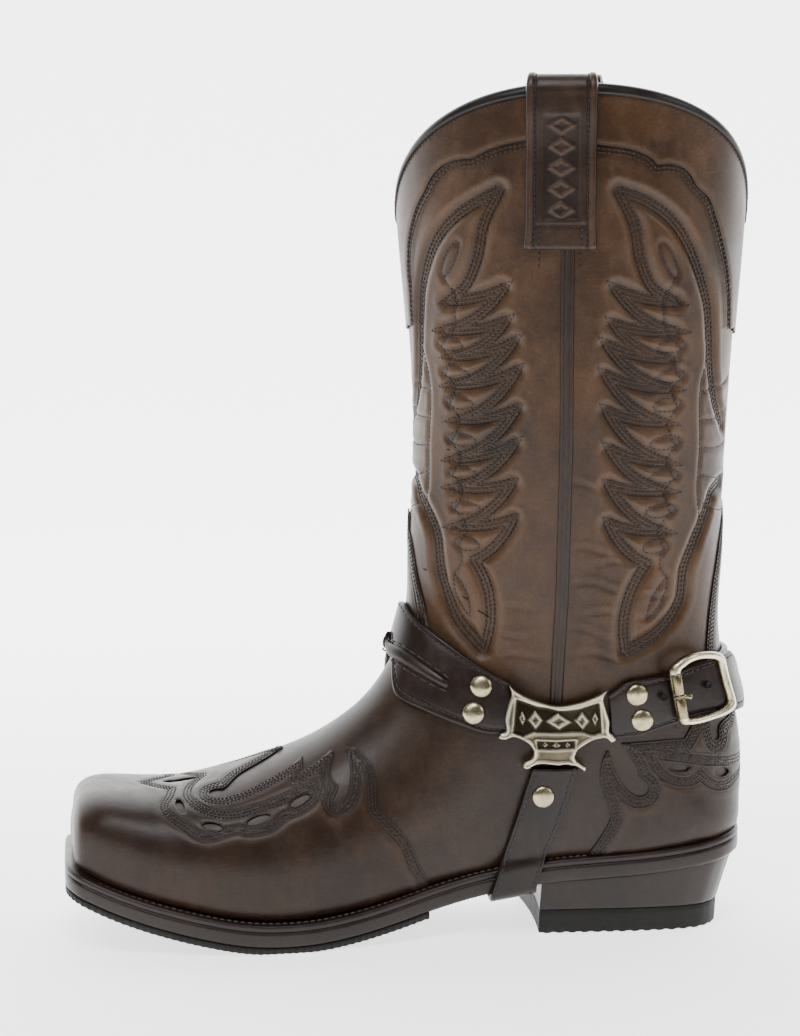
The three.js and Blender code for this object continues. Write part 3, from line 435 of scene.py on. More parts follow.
def bumped(tree, height, strength, distance, under=None, invert=False):
    """A bump from a height, over the bump under it."""
    wires = {"Strength": strength, "Distance": distance, "Height": height}
    if under is not None:
        wires["Normal"] = under
    return node(tree, "ShaderNodeBump", wires, invert=invert).outputs["Normal"]


ROW_STEP = 1.8


def leather(name, deep, middle, wear_and_highlight, roughness=0.42, coat=0.12, grain=1.0, ribs=True):
    """Burnished leather.

    Wide clouds blend a deep and a middle colour. One attribute paints a highlight on ridges beside
    stitching and on raised borders, and attribute "deep" darkens towards a near-black groove colour:
    painted shade in grooves, creases and along the edges of stitched bands, with a faint darkening
    over the bands and darker cut edges. Fine pebble grain, pores and hair-thin creases make the
    bump, and attribute "band" presses the ribs between rows of stitching.
    """
    material, tree, shader = fresh_material(name, roughness, coat=coat, coat_roughness=0.30, specular=0.24)
    place = node(tree, "ShaderNodeTexCoord").outputs["Object"]
    clouds = noise(tree, place, 21, 5, 0.62)
    smears = noise(tree, place, 95, 6, 0.7, stretch=(1.0, 1.0, 0.6))
    fleck = ranged(tree, noise(tree, place, 900, 3, 0.6), 0.35, 0.7, 0.82, 1.16)
    flecks = node(tree, "ShaderNodeCombineColor", dict.fromkeys(("Red", "Green", "Blue"), fleck)).outputs["Color"]

    colour = mixed(tree, ranged(tree, clouds, 0.34, 0.66), deep, middle)
    colour = mixed(tree, ranged(tree, smears, 0.48, 0.80, 0.0, 0.30), colour, wear_and_highlight)
    # Painted highlight: ridges beside stitching and raised borders lightened towards the light colour
    colour = mixed(tree, ranged(tree, share_of(tree, "wear_and_highlight"), 0, 1, 0, 0.38), colour, wear_and_highlight)
    colour = mixed(tree, 1.0, colour, flecks, "MULTIPLY")
    # Groove colour, near black: painted shade in grooves, creases and along band edges, also used for the darker
    # cut edges
    groove = tuple(c * 0.22 for c in deep)
    colour = mixed(tree, ranged(tree, share_of(tree, "deep"), 0, 1, 0, 0.8), colour, groove)
    tree.links.new(colour, shader.inputs["Base Color"])
    rough = ranged(tree, smears, 0.3, 0.75, roughness - 0.08, roughness + 0.12)
    tree.links.new(rough, shader.inputs["Roughness"])

    pebbles = node(tree, "ShaderNodeTexVoronoi", {"Vector": place, "Scale": 1150, "Randomness": 1.0},
                   feature="SMOOTH_F1").outputs["Distance"]
    fine = counted(tree, "ADD", pebbles, noise(tree, place, 2600, 2))
    creases = noise(tree, place, 170, 5, 0.55, 0.9, stretch=(0.5, 0.5, 1.6))
    bump = bumped(tree, fine, 0.16 * grain, 0.00022)
    bump = bumped(tree, creases, 0.22 * grain, 0.0006, bump)
    if ribs:
        band = share_of(tree, "band")
        wave = counted(tree, "COSINE", counted(tree, "MULTIPLY", band, 2 * math.pi / ROW_STEP))
        inside = ranged(tree, counted(tree, "ABSOLUTE", band), 2.6, 3.2, 1.0, 0.0)
        bump = bumped(tree, counted(tree, "MULTIPLY", wave, inside), 0.4, 0.0004, bump, invert=True)
    tree.links.new(bump, shader.inputs["Normal"])
    return material


shaft_leather = leather(
    "shaft_leather", (0.0135, 0.0052, 0.0018), (0.0500, 0.0225, 0.0080), (0.110, 0.062, 0.031), coat=0.06,
)
vamp_leather = leather(
    "vamp_leather", (0.0070, 0.0027, 0.0011), (0.0215, 0.0092, 0.0038), (0.070, 0.038, 0.020), coat=0.07,
)

# Side seam as a line up each side: (side, height and place along), and the shaft's chart: the
# distance round a level ring from the seam, positive towards the front
SEAM_LINES = {
    # side: (height, place along)
    -1: [(60, -38), (113, -35.6), (154, -34.2), (222, -34.1), (287, -34.9), (400, -35.2)],
    1: [(60, -36), (113, -31), (154, -26), (222, -21.5), (287, -18.6), (400, -16.5)],
}
CHART_FROM, CHART_TO, CHART_STEP = 92.0, 384.0, 4.0
CHART_COLUMNS = 241


def shaft_chart():
    """Level rings of the shaft: for each height, station and distance from the seam by angle.

    Distances are summed round the ring and counted from where it crosses the seam line.
    """
    heights = np.arange(CHART_FROM, CHART_TO, CHART_STEP)
    charts = {}
    for side in (-1, 1):
        angles = np.linspace(0, math.pi, CHART_COLUMNS) * -side
        stations = at_height(angles[None, :], heights[:, None])
        ring = skin(stations, angles[None, :])
        steps = np.linalg.norm(np.diff(ring, axis=1), axis=-1)
        round_it = np.concatenate([np.zeros((len(heights), 1)), np.cumsum(steps, axis=1)], axis=1)
        seam_x = np.interp(heights, *np.array(SEAM_LINES[side]).T)
        at_seam = np.array([np.interp(x, row[:, 0], s) for x, row, s in zip(seam_x, ring, round_it)])
        charts[side] = (heights, angles, at_seam[:, None] - round_it, stations)
    return charts


CHARTS = shaft_chart()


def sampled(table, i, j):
    """Values of a table between its rows and columns."""
    i = np.clip(i, 0, table.shape[0] - 1.001)
    j = np.clip(j, 0, table.shape[1] - 1.001)
    i0, j0 = i.astype(int), j.astype(int)
    u, v = i - i0, j - j0
    return ((table[i0, j0] * (1 - v) + table[i0, j0 + 1] * v) * (1 - u)
            + (table[i0 + 1, j0] * (1 - v) + table[i0 + 1, j0 + 1] * v) * u)


def from_seam(angle, z):
    """Distance from the nearer side's seam, and that side, of places on the shaft."""
    angle = np.arctan2(np.sin(angle), np.cos(angle))
    i = (z - CHART_FROM) / CHART_STEP
    j = np.abs(angle) / math.pi * (CHART_COLUMNS - 1)
    outer = sampled(CHARTS[-1][2], i, j)
    inner = sampled(CHARTS[1][2], i, j)
    return np.where(angle >= 0, outer, inner), np.where(angle >= 0, -1, 1)


def on_shaft(distance, z, side):
    """Station and angle of places given by distance from the seam and height."""
    heights, _, distances, stations = CHARTS[side]
    distance, z = np.broadcast_arrays(np.asarray(distance, float), np.asarray(z, float))
    i = (z - CHART_FROM) / CHART_STEP
    low = np.clip(i.astype(int), 0, len(heights) - 2)
    found = []
    for row in (low, low + 1):
        j = np.zeros(distance.shape)
        for level in np.unique(row):
            here = row == level
            j[here] = np.interp(-distance[here], -distances[level], np.arange(float(CHART_COLUMNS)))
        found.append(j)
    share = i - low
    j = found[0] * (1 - share) + found[1] * share
    return sampled(stations, i, j), j / (CHART_COLUMNS - 1) * math.pi * -side


def arc(start, end, bulge, step=0.7):
    """Bowed stroke between two places: a parabola that rises to the left by a share of its length."""
    start, end = np.asarray(start, float), np.asarray(end, float)
    length = np.linalg.norm(end - start)
    count = max(4, int(length / step))
    t = np.linspace(0, 1, count)[:, None]
    left = np.array([-(end - start)[1], (end - start)[0]])
    return start + (end - start) * t + left * (4 * bulge * t * (1 - t))


def stroke(points, step=0.7):
    """Smooth stroke through a few places."""
    points = np.asarray(points, float)
    keys = run_along(points)
    return flowing(keys, points)(np.linspace(0, keys[-1], max(4, int(keys[-1] / step))))


def joined(*strokes):
    """One line from strokes that follow on, their shared ends kept once."""
    return np.concatenate([strokes[0]] + [part[1:] for part in strokes[1:]])


def beside(line, offset):
    """The row at a distance beside a line, with pointed corners and no loops.

    Each point moves along its two pieces' mean normal, lengthened by the corner's angle, and
    points that come nearer to the line than the distance are left out. Gives the runs left.
    """
    if offset == 0:
        return [line]
    way = np.diff(line, axis=0)
    way /= np.maximum(np.linalg.norm(way, axis=1, keepdims=True), 1e-9)
    left = np.stack([-way[:, 1], way[:, 0]], 1)
    before = np.vstack([left[:1], left])
    after = np.vstack([left, left[-1:]])
    mean = before + after
    size = np.linalg.norm(mean, axis=1, keepdims=True)
    mean = mean / np.maximum(size, 1e-6)
    reach = 1 / np.maximum((mean * before).sum(1, keepdims=True), 0.2)
    moved = line + mean * offset * reach
    away = nearest(moved, line)[0]
    keep = np.abs(away) >= abs(offset) - 0.12
    return [moved[a:b] for a, b in runs_of(keep) if b - a > 3]


def runs_of(keep):
    """First and last-but-one places of the unbroken runs in a row of yes and no."""
    edges = np.flatnonzero(np.diff(np.concatenate([[False], keep, [False]]).astype(int)))
    return zip(edges[::2], edges[1::2])


CHUNK = 3000


def nearest(points, line):
    """Distance from points to a line, signed by its side, and the share along it."""
    a, b = line[:-1], line[1:]
    way = b - a
    square = np.maximum((way ** 2).sum(1), 1e-12)
    distances = np.empty(len(points))
    shares = np.empty(len(points))
    for start in range(0, len(points), CHUNK):
        p = points[start:start + CHUNK, None, :]
        t = np.clip(((p - a) * way).sum(-1) / square, 0, 1)
        off = p - (a + t[..., None] * way)
        cross = (way[:, 0] * off[..., 1] - way[:, 1] * off[..., 0]) / np.sqrt(square)
        away = np.linalg.norm(off, axis=-1)
        best = np.argmin(away - 1e-5 * np.abs(cross), axis=1)
        rows = np.arange(len(best))
        distances[start:start + CHUNK] = away[rows, best] * np.where(cross[rows, best] >= 0, 1, -1)
        shares[start:start + CHUNK] = (best + t[rows, best]) / len(way)
    return distances, shares


# Stitched flames of the shaft
# Four like panels, front and back of each side seam. Three rows of lockstitch follow the
# flames, a single row chains ovals down each panel, and the leather puffs up between rows.
FLAMES = {
    # tip and valley of each flame: distances from the seam and heights
    "front": [
        ((28.5, 291.5), (55.5, 285.6)), ((27.5, 277.4), (57.0, 272.7)), ((24.0, 268.3), (52.0, 261.4)),
        ((22.5, 255.8), (52.8, 248.6)), ((22.7, 239.0), (49.8, 233.3)), ((23.7, 223.4), (51.2, 215.9)),
        ((24.2, 206.0), (50.5, 203.2)), ((23.2, 190.0), (48.4, 185.8)),
    ],
    "back": [
        ((21.5, 291.5), (49.0, 285.6)), ((20.7, 276.6), (48.6, 272.8)), ((18.0, 267.4), (45.2, 260.9)),
        ((17.2, 254.4), (46.3, 247.9)), ((18.0, 238.6), (43.8, 232.9)), ((19.6, 221.6), (45.3, 215.2)),
        ((19.5, 205.8), (45.2, 202.4)), ((19.9, 188.6), (43.9, 184.5)),
    ],
}
PANEL_ENDS = {
    # top tip, notch and bottom tip
    "front": ((30.5, 334.0), (40.6, 170.6), (34.0, 130.8)),
    "back": ((21.6, 334.0), (38.0, 169.8), (30.0, 130.8)),
}
OUTER_BANDS = {
    # upper band from the top tip round to the centre motif, lower band from it to the bottom tip
    "front": (
        [(30.5, 334.0), (41.4, 328.5), (52.0, 322.0), (61.4, 313.2), (68.2, 302.4), (72.6, 291.7),
         (75.0, 278.7),
         (76.5, 262.0), (80.5, 244.0), (88.0, 232.0)],
        [(88.0, 206.0), (79.5, 203.0), (75.2, 197.9), (67.0, 190.0), (61.3, 181.4), (58.5, 166.2),
         (49.0, 145.6),
         (34.0, 130.8)],
    ),
    "back": (
        [(21.6, 334.0), (36.3, 328.2), (48.0, 319.6), (56.4, 308.2), (63.2, 295.0), (67.5, 284.0),
         (69.6, 270.0),
         (71.5, 254.0), (76.0, 240.0), (84.0, 229.0)],
        [(84.0, 203.0), (75.0, 199.5), (71.5, 193.5), (62.3, 177.4), (57.4, 167.0), (55.6, 152.3),
         (45.0, 138.8),
         (30.0, 130.8)],
    ),
}
CHAIN = {
    # ovals of the single row: distance from the seam, height, half length; then lens and leaf
    "front": [(55.0, 266.5, 6.6), (52.4, 253.9, 6.8), (49.8, 241.0, 7.0), (48.6, 224.5, 7.4), (47.8, 209.4, 7.0),
              (45.6, 194.2, 7.2), (44.0, 178.0, 6.0)],
    "back": [(47.2, 266.5, 6.6), (47.4, 253.2, 6.8), (45.6, 240.8, 7.0), (44.8, 224.0, 7.4), (44.9, 209.0, 7.0),
             (43.5, 193.8, 7.2), (41.4, 177.6, 6.0)],
}
# Heights of the centre motif's ribs, at the spine and at their ends
RIBS = [(246, 250), (233, 236), (221, 221), (209, 206), (197, 190)]
# How far leather swells between the rows, how far from them, and how deep a single row presses
PUFF = 1.9
PUFF_REACH = 1.65
CHAIN_PUFF = 0.55
PRESSED_DEEPEST = -1.75
NO_BAND = 9.0


def oval(middle, half_length, half_width, tilt):
    """Ellipse of stitches, with its long way turned by the tilt."""
    t = np.linspace(0, 2 * math.pi, 34)
    along, across = np.cos(t) * half_length, np.sin(t) * half_width
    return np.stack([
        middle[0] + along * math.cos(tilt) - across * math.sin(tilt),
        middle[1] + along * math.sin(tilt) + across * math.cos(tilt),
    ], 1)


def panel_lines(kind):
    """Band lines (three rows) and single lines of one panel, as distance from the seam and height."""
    top, notch, bottom = PANEL_ENDS[kind]
    flames = FLAMES[kind]
    down_from_top = [(top[0] + x, top[1] - z) for x, z in ((0, 0), (7.0, 14), (10.5, 30), (16.5, 42))]
    parts = [stroke(down_from_top + [flames[0][1]])]
    for (tip, valley), after in zip(flames, flames[1:] + [None]):
        parts.append(arc(valley, tip, 0.05))
        parts.append(arc(tip, notch if after is None else after[1], -0.10))
    parts.append(arc(notch, bottom, -0.12))
    upper, lower = OUTER_BANDS[kind]
    bands = [joined(*parts), stroke(upper), stroke(lower)]
    chain = CHAIN[kind]
    lens = (top[0] + 23.5, top[1] - 30.0)
    leaf = (chain[-1][0] + 3.0, chain[-1][1] - 24.0)
    leaf_top, leaf_foot = (leaf[0] + 3.5, leaf[1] + 10), (leaf[0] - 5.5, leaf[1] - 9)
    singles = [oval(lens, 8.6, 2.6, math.radians(118))]
    singles.append(joined(arc(leaf_top, leaf_foot, 0.12), arc(leaf_foot, leaf_top, 0.12)))
    stops = [(lens[0] + 4.2, lens[1] - 7.5)]
    for distance, height, half in chain:
        singles.append(oval((distance, height), half, 3.0, 0.12))
        stops.append((distance + half * 0.72, height - 1.2))
    stops.append(leaf_top)
    for start, end in zip(stops, stops[1:]):
        singles.append(arc(start, end, -0.24))
    spine = 68.0 if kind == "front" else 64.0
    down_spine = ((4.0, 262), (0, 250), (0, 222), (-0.5, 198), (1.5, 188))
    singles.append(stroke([(spine + aside, height) for aside, height in down_spine]))
    for low, high in RIBS:
        singles.append(arc((spine + 0.5, low), (spine + 24, high), -0.06))
    return bands, singles


PANELS = {kind: panel_lines(kind) for kind in ("front", "back")}
CREASES = [
    # wear creases above the ankle: from the seam, height, half length, slope, depth in mm
    (-16, 176, 12, 0.10, 0.45), (-30, 170, 15, 0.05, 0.55), (-19, 160, 13, 0.12, 0.50),
    (-38, 156, 12, 0.02, 0.55),
    (-26, 147, 16, 0.08, 0.60), (-15, 139, 11, 0.14, 0.45), (-36, 135, 14, 0.05, 0.55),
    (-22, 128, 14, 0.10, 0.5),
    (18, 150, 10, -0.12, 0.35), (24, 137, 12, -0.08, 0.45), (15, 128, 9, -0.15, 0.35),
    (-12, 205, 9, 0.12, 0.3),
]


def bell(value, middle, width):
    """A soft peak: one at its middle, fallen to about a third at its width."""
    return np.exp(-((value - middle) / width) ** 2)


def pressed(distance, z):
    """How stitching shapes the shaft at places from the seam: lift, band, deep and worn.

    The lift falls by a soft exponential trough to the rows of stitching and swells in a low
    ridge just outside them; a single row makes a narrow groove. Deep is painted shade along the
    bands' edges, in the grooves and in the creases, over a faint darkening of the bands; the last
    share is a painted highlight on the ridges outside the rows.
    """
    distance, z = np.broadcast_arrays(distance, z)
    places = np.stack([np.abs(distance), z], -1).reshape(-1, 2)
    ahead = distance.ravel() >= 0
    band = np.full(len(places), NO_BAND)
    single = np.full(len(places), NO_BAND)
    for kind, here in (("front", ahead), ("back", ~ahead)):
        bands, singles = PANELS[kind]
        for lines, store in ((bands, band), (singles, single)):
            for line in lines:
                low, high = line.min(0) - 8, line.max(0) + 8
                inside = np.flatnonzero(here & (places > low).all(1) & (places < high).all(1))
                if not len(inside):
                    continue
                away = nearest(places[inside], line)[0]
                closer = np.abs(away) < np.abs(store[inside])
                store[inside[closer]] = away[closer]
    band, single = np.abs(band), np.abs(single)
    beyond = np.maximum(band - 2.5, 0)
    groove = bell(single, 0, 0.95)
    swell = bell(beyond, 3.0, 2.4) + 0.45 * bell(single, 2.6, 1.5)
    lift = -PUFF * np.exp(-beyond / PUFF_REACH) - CHAIN_PUFF * groove + 0.42 * np.minimum(swell, 1.2)
    # Painted shade at the bands' edges and in the single rows' grooves, over a faint darkening of the bands;
    # below it, a painted highlight on the ridges just outside the rows
    deep = 0.05 * np.exp(-beyond / 1.2) + 0.26 * bell(beyond, 0.2, 0.5) + 0.35 * groove
    wear_and_highlight = 0.8 * bell(beyond, 2.6, 1.5) + 0.45 * bell(single, 2.4, 1.2)
    for middle_at, height, half_length, slope, depth in CREASES:
        along = places[:, 0] * np.where(ahead, 1, -1) - middle_at
        across = places[:, 1] - height - slope * along - 1.2 * np.sin(along / 4.1)
        sunk = depth * np.exp(-(along / half_length) ** 4) * np.clip((beyond - 1.5) / 3, 0, 1)
        lift += sunk * (0.55 * bell(across, 2.4, 1.5) - bell(across, 0, 1.1))
        # Painted shade in the bottom of each crease
        deep += 0.35 * sunk * bell(across, 0, 0.9)
    lift = np.maximum(lift, PRESSED_DEEPEST)
    return [value.reshape(distance.shape) for value in (lift, band, np.minimum(deep, 1), np.minimum(wear_and_highlight, 1))]


SHAFT_COLUMNS = 340
SHAFT_ROWS = 225


def split_height(angle):
    """Where the shaft's skin takes over from the foot's, hidden under the harness straps."""
    cosine = np.cos(angle)
    return 103 + np.where(cosine > 0, 28, 7) * cosine ** 2


def even_angles(count, z):
    """Angles that divide a level ring of the shaft into equal lengths."""
    fine = np.linspace(0, 2 * math.pi, 1441)
    ring = skin(at_height(fine, z), fine)
    run = run_along(ring)
    return np.interp(np.linspace(0, run[-1], count, endpoint=False), run, fine)


shaft_angles = even_angles(SHAFT_COLUMNS, 235.0)
shaft_share = np.linspace(0, 1, SHAFT_ROWS)[:, None]
shaft_z = split_height(shaft_angles) + shaft_share * (topline(shaft_angles) - split_height(shaft_angles))
shaft_station = at_height(shaft_angles[None, :], shaft_z)
shaft_distance = from_seam(np.broadcast_to(shaft_angles, shaft_z.shape), shaft_z)[0]
lift, band, deep, wear_and_highlight = pressed(shaft_distance, shaft_z)
shaft_out = outward(shaft_station, shaft_angles[None, :])
make_piece(
    "shaft", skin(shaft_station, shaft_angles[None, :]) + shaft_out * lift[..., None],
    grid_faces(SHAFT_ROWS, SHAFT_COLUMNS, closed=True)[:, ::-1], shaft_leather, "shaft_leather",
    values={"band": band, "deep": deep, "wear_and_highlight": wear_and_highlight}, replaces=["upper"],
)


def thread_material(name, colour):
    """Waxed thread of one plain colour."""
    material, _, shader = fresh_material(name, 0.5, specular=0.4)
    shader.inputs["Base Color"].default_value = (*colour, 1)
    return material


brown_thread = thread_material("brown_thread", (0.0130, 0.0065, 0.0042))


def pitched(line, pitch, run=None, shares=(-0.42, -0.2, 0.2, 0.42)):
    """Places of the stitches along a line: middles at even steps of its run, four stops on each."""
    run = run_along(line) if run is None else run
    count = max(1, int(run[-1] / pitch))
    middles = (np.arange(count) + 0.5) * run[-1] / count
    stops = np.clip(middles[:, None] + np.array(shares) * pitch, 0, run[-1])
    return np.stack([np.interp(stops, run, line[:, c]) for c in range(line.shape[1])], -1)


def rods(centres, normals, radius=0.3):
    """Small four-sided rods through four stops each, ends sunk, for stitches."""
    way = np.gradient(centres, axis=1)
    way /= np.maximum(np.linalg.norm(way, axis=-1, keepdims=True), 1e-9)
    across = np.cross(way, normals)
    across /= np.maximum(np.linalg.norm(across, axis=-1, keepdims=True), 1e-9)
    rise = np.array([-0.3, 0.16, 0.16, -0.3])[None, :, None]
    spine = centres + normals * rise
    corners = []
    for k in range(4):
        turn = math.pi / 4 + k * math.pi / 2
        corners.append(spine + (normals * math.cos(turn) + across * math.sin(turn)) * radius)
    points = np.stack(corners, 2)
    count = len(points)
    one = []
    for ring in range(3):
        for k in range(4):
            a, b = ring * 4 + k, ring * 4 + (k + 1) % 4
            one.append((a, b, b + 4, a + 4))
    one += [(3, 2, 1, 0), (12, 13, 14, 15)]
    faces = np.array(one)[None] + np.arange(count)[:, None, None] * 16
    return points.reshape(-1, 3), faces.reshape(-1, 4)


def shaft_stitches(side, pitch=2.05):
    """Stitch stops of both panels of one side, on the pressed leather."""
    stops = []
    for kind, sign in (("front", 1), ("back", -1)):
        bands, singles = PANELS[kind]
        offsets = (-ROW_STEP, 0, ROW_STEP)
        rows = [row for line in bands for offset in offsets for row in beside(line, offset)]
        for row in rows + singles:
            places = pitched(row, pitch)
            places[..., 0] *= sign
            stops.append(places)
    places = np.concatenate(stops)
    station, angle = on_shaft(places[..., 0], places[..., 1], side)
    lift = pressed(places[..., 0], places[..., 1])[0]
    normals = outward(station, angle)
    return skin(station, angle) + normals * lift[..., None], normals


for side, side_name in ((-1, "lateral"), (1, "medial")):
    centres, normals = shaft_stitches(side)
    points, faces = rods(centres, normals)
    make_piece("shaft_stitches_" + side_name, points, faces, brown_thread, "shaft_leather")


# Foot of the upper
# The vamp and quarters, one skin from the toe to under the harness, whose lower edge turns in
# behind the welt. The cut overlays of toe and heel lie on it.
OVERLAY_THICK = 1.3
FOOT_PUFF = 0.34
FOOT_STITCH = 0.27
LEAF_ROWS = (-1.5, 0, 1.5)
EDGE_ROWS = (1.2, 2.7, 4.2)


def spread_angles(start, end, crowd=2.4, count=48):
    """Angles between two, crowded towards the sections' four axes, where squared ends run fast.

    Even shares raised to a power are taken as sines and cosines of the angles of a quarter.
    """
    tau = np.linspace(0, 1, count) ** crowd
    tau = tau[tau <= 0.7072]
    quarter = np.concatenate([np.arcsin(tau), np.arccos(tau)])
    quarter = np.unique(np.round(quarter, 6))
    every = np.concatenate([quarter + k * math.pi / 2 for k in range(-4, 8)])
    return np.unique(np.concatenate([[start, end], every[(every > start) & (every < end)]]))


def even_net(stations, start, end, count):
    """Stations and angles of a net whose columns divide each section evenly between two angles."""
    fine = spread_angles(start, end, count=130)
    ring = skin(np.asarray(stations)[:, None], fine[None, :])
    run = np.cumsum(np.linalg.norm(np.diff(ring, axis=1), axis=-1), axis=1)
    run = np.hstack([np.zeros((len(run), 1)), run + np.arange(1, run.shape[1] + 1) * 1e-6])
    share = np.linspace(0, 1, count)
    angles = np.array([np.interp(share * row[-1], row, fine) for row in run])
    return np.broadcast_to(np.asarray(stations)[:, None], angles.shape), angles


def settle(targets, axes=(0, 1, 2), side=0, lift=0.0, low=-TOE_CAP, high=None, span=None, rounds=13):
    """Stations and angles where the lifted skin meets wanted coordinates.

    A coarse net finds the nearest place, then a window of five by five places round it narrows
    to under half at each round. The side limits the search to one side of the boot.
    """
    net_rows, margin, narrowing = 130, 0.02, 0.45
    axes = np.eye(3)[list(axes)] if np.ndim(axes) == 1 else np.asarray(axes, float)
    targets = np.asarray(targets, float).reshape(-1, len(axes))
    high = LAST_STATION if high is None else high
    sides = {0: (-math.pi, math.pi), -1: (margin, math.pi - margin), 1: (-math.pi + margin, -margin)}
    span = span or sides[side]
    net_s = np.linspace(low, high, net_rows)[:, None]
    net_a = spread_angles(*span)[None, :]
    net = (skin(net_s, net_a) + outward(net_s, net_a) * np.mean(lift)).reshape(-1, 3) @ axes.T
    best = np.array([np.argmin(((net - row) ** 2).sum(1)) for row in targets])
    s, a = [part.ravel()[best][:, None] for part in np.broadcast_arrays(net_s, net_a)]
    lift = np.broadcast_to(np.ravel(lift), len(targets))[:, None, None]
    step_s, step_a = (high - low) / (net_rows - 1), 0.05
    ds, da = [part.ravel() for part in np.meshgrid(np.linspace(-1, 1, 5), np.linspace(-1, 1, 5))]
    rows = np.arange(len(targets))
    for _ in range(rounds):
        try_s = np.clip(s + ds * step_s, low, high)
        try_a = a + da * step_a
        if side:
            try_a = np.clip(try_a, *span)
        points = skin(try_s, try_a)
        if lift.any():
            points = points + outward(try_s, try_a) * lift
        pick = (((points @ axes.T) - targets[:, None]) ** 2).sum(-1).argmin(1)
        s, a = try_s[rows, pick][:, None], try_a[rows, pick][:, None]
        step_s, step_a = step_s * narrowing, step_a * narrowing
    return s[:, 0], a[:, 0]


def in_outline(outline, x, y):
    """Whether places lie inside a closed outline, by the crossings of a ray."""
    inside = np.zeros(x.shape, bool)
    for (x0, y0), (x1, y1) in zip(outline, np.roll(outline, -1, axis=0)):
        if y0 == y1:
            continue
        crosses = (y0 > y) != (y1 > y)
        inside ^= crosses & (x < (x1 - x0) * (y - y0) / (y1 - y0) + x0)
    return inside


def away_from(points, line, reach=9.0):
    """Distance in space from points to a line, at most the reach."""
    found = np.full(len(points), reach)
    a, b = line[:-1], line[1:]
    way = b - a
    square = np.maximum((way ** 2).sum(1), 1e-12)
    near = np.flatnonzero(((points > line.min(0) - reach) & (points < line.max(0) + reach)).all(1))
    for start in range(0, len(near), CHUNK):
        rows = near[start:start + CHUNK]
        p = points[rows, None, :]
        t = np.clip(((p - a) * way).sum(-1) / square, 0, 1)
        off = p - (a + t[..., None] * way)
        found[rows] = np.minimum(found[rows], np.sqrt((off ** 2).sum(-1)).min(1))
    return found


def laid(strokes, side, step=0.8, axes=(0, 1, 2), **limits):
    """A line on the skin from strokes of places that meet in corners: stations, angles, points."""
    places = joined(*[stroke(part, step) for part in strokes]).copy()
    if 1 in axes and len(axes) == 3 and side > 0:
        places[:, 1] *= -1
    s, a = settle(places, axes, side if len(axes) == 2 else 0, **limits)
    return s, a, skin(s, a)


def rows_beside(line, offset):
    """Rows at a distance beside a line on the skin, as runs of stations and angles."""
    s, a, points = line
    if offset == 0:
        return [(s, a)]
    normal = outward(s, a)
    way = np.diff(points, axis=0)
    way /= np.maximum(np.linalg.norm(way, axis=1, keepdims=True), 1e-9)
    before = np.vstack([way[:1], way])
    after = np.vstack([way, way[-1:]])
    left = np.cross(normal, before)
    mean = left + np.cross(normal, after)
    mean /= np.maximum(np.linalg.norm(mean, axis=1, keepdims=True), 1e-6)
    reach = 1 / np.maximum((mean * left).sum(1, keepdims=True), 0.3)
    moved_s, moved_a = settle(points + mean * offset * reach)
    moved = skin(moved_s, moved_a)
    keep = away_from(moved, points) >= abs(offset) - 0.15
    keep &= np.linalg.norm(moved - points, axis=1) < abs(offset) * 3.5 + 1
    return [(moved_s[i:j], moved_a[i:j]) for i, j in runs_of(keep) if j - i > 4]


def oval_on(start, end, half_width, side):
    """Closed line of an oval window on the skin, from its two ends."""
    start, end = np.array(start, float), np.array(end, float)
    if side > 0:
        start[1] *= -1
        end[1] *= -1
    s, a = settle([(start + end) / 2])
    middle, normal = skin(s, a)[0], outward(s, a)[0]
    half = (end - start) / 2
    across = np.cross(normal, half)
    across *= half_width / np.linalg.norm(across)
    t = np.linspace(0, 2 * math.pi, 29)[:, None]
    s, a = settle(middle + half * np.cos(t) + across * np.sin(t))
    return s, a, skin(s, a)


def smooth_step(share):
    """A share from zero to one eased at both ends: three of its square less two of its cube."""
    return share * share * (3 - 2 * share)


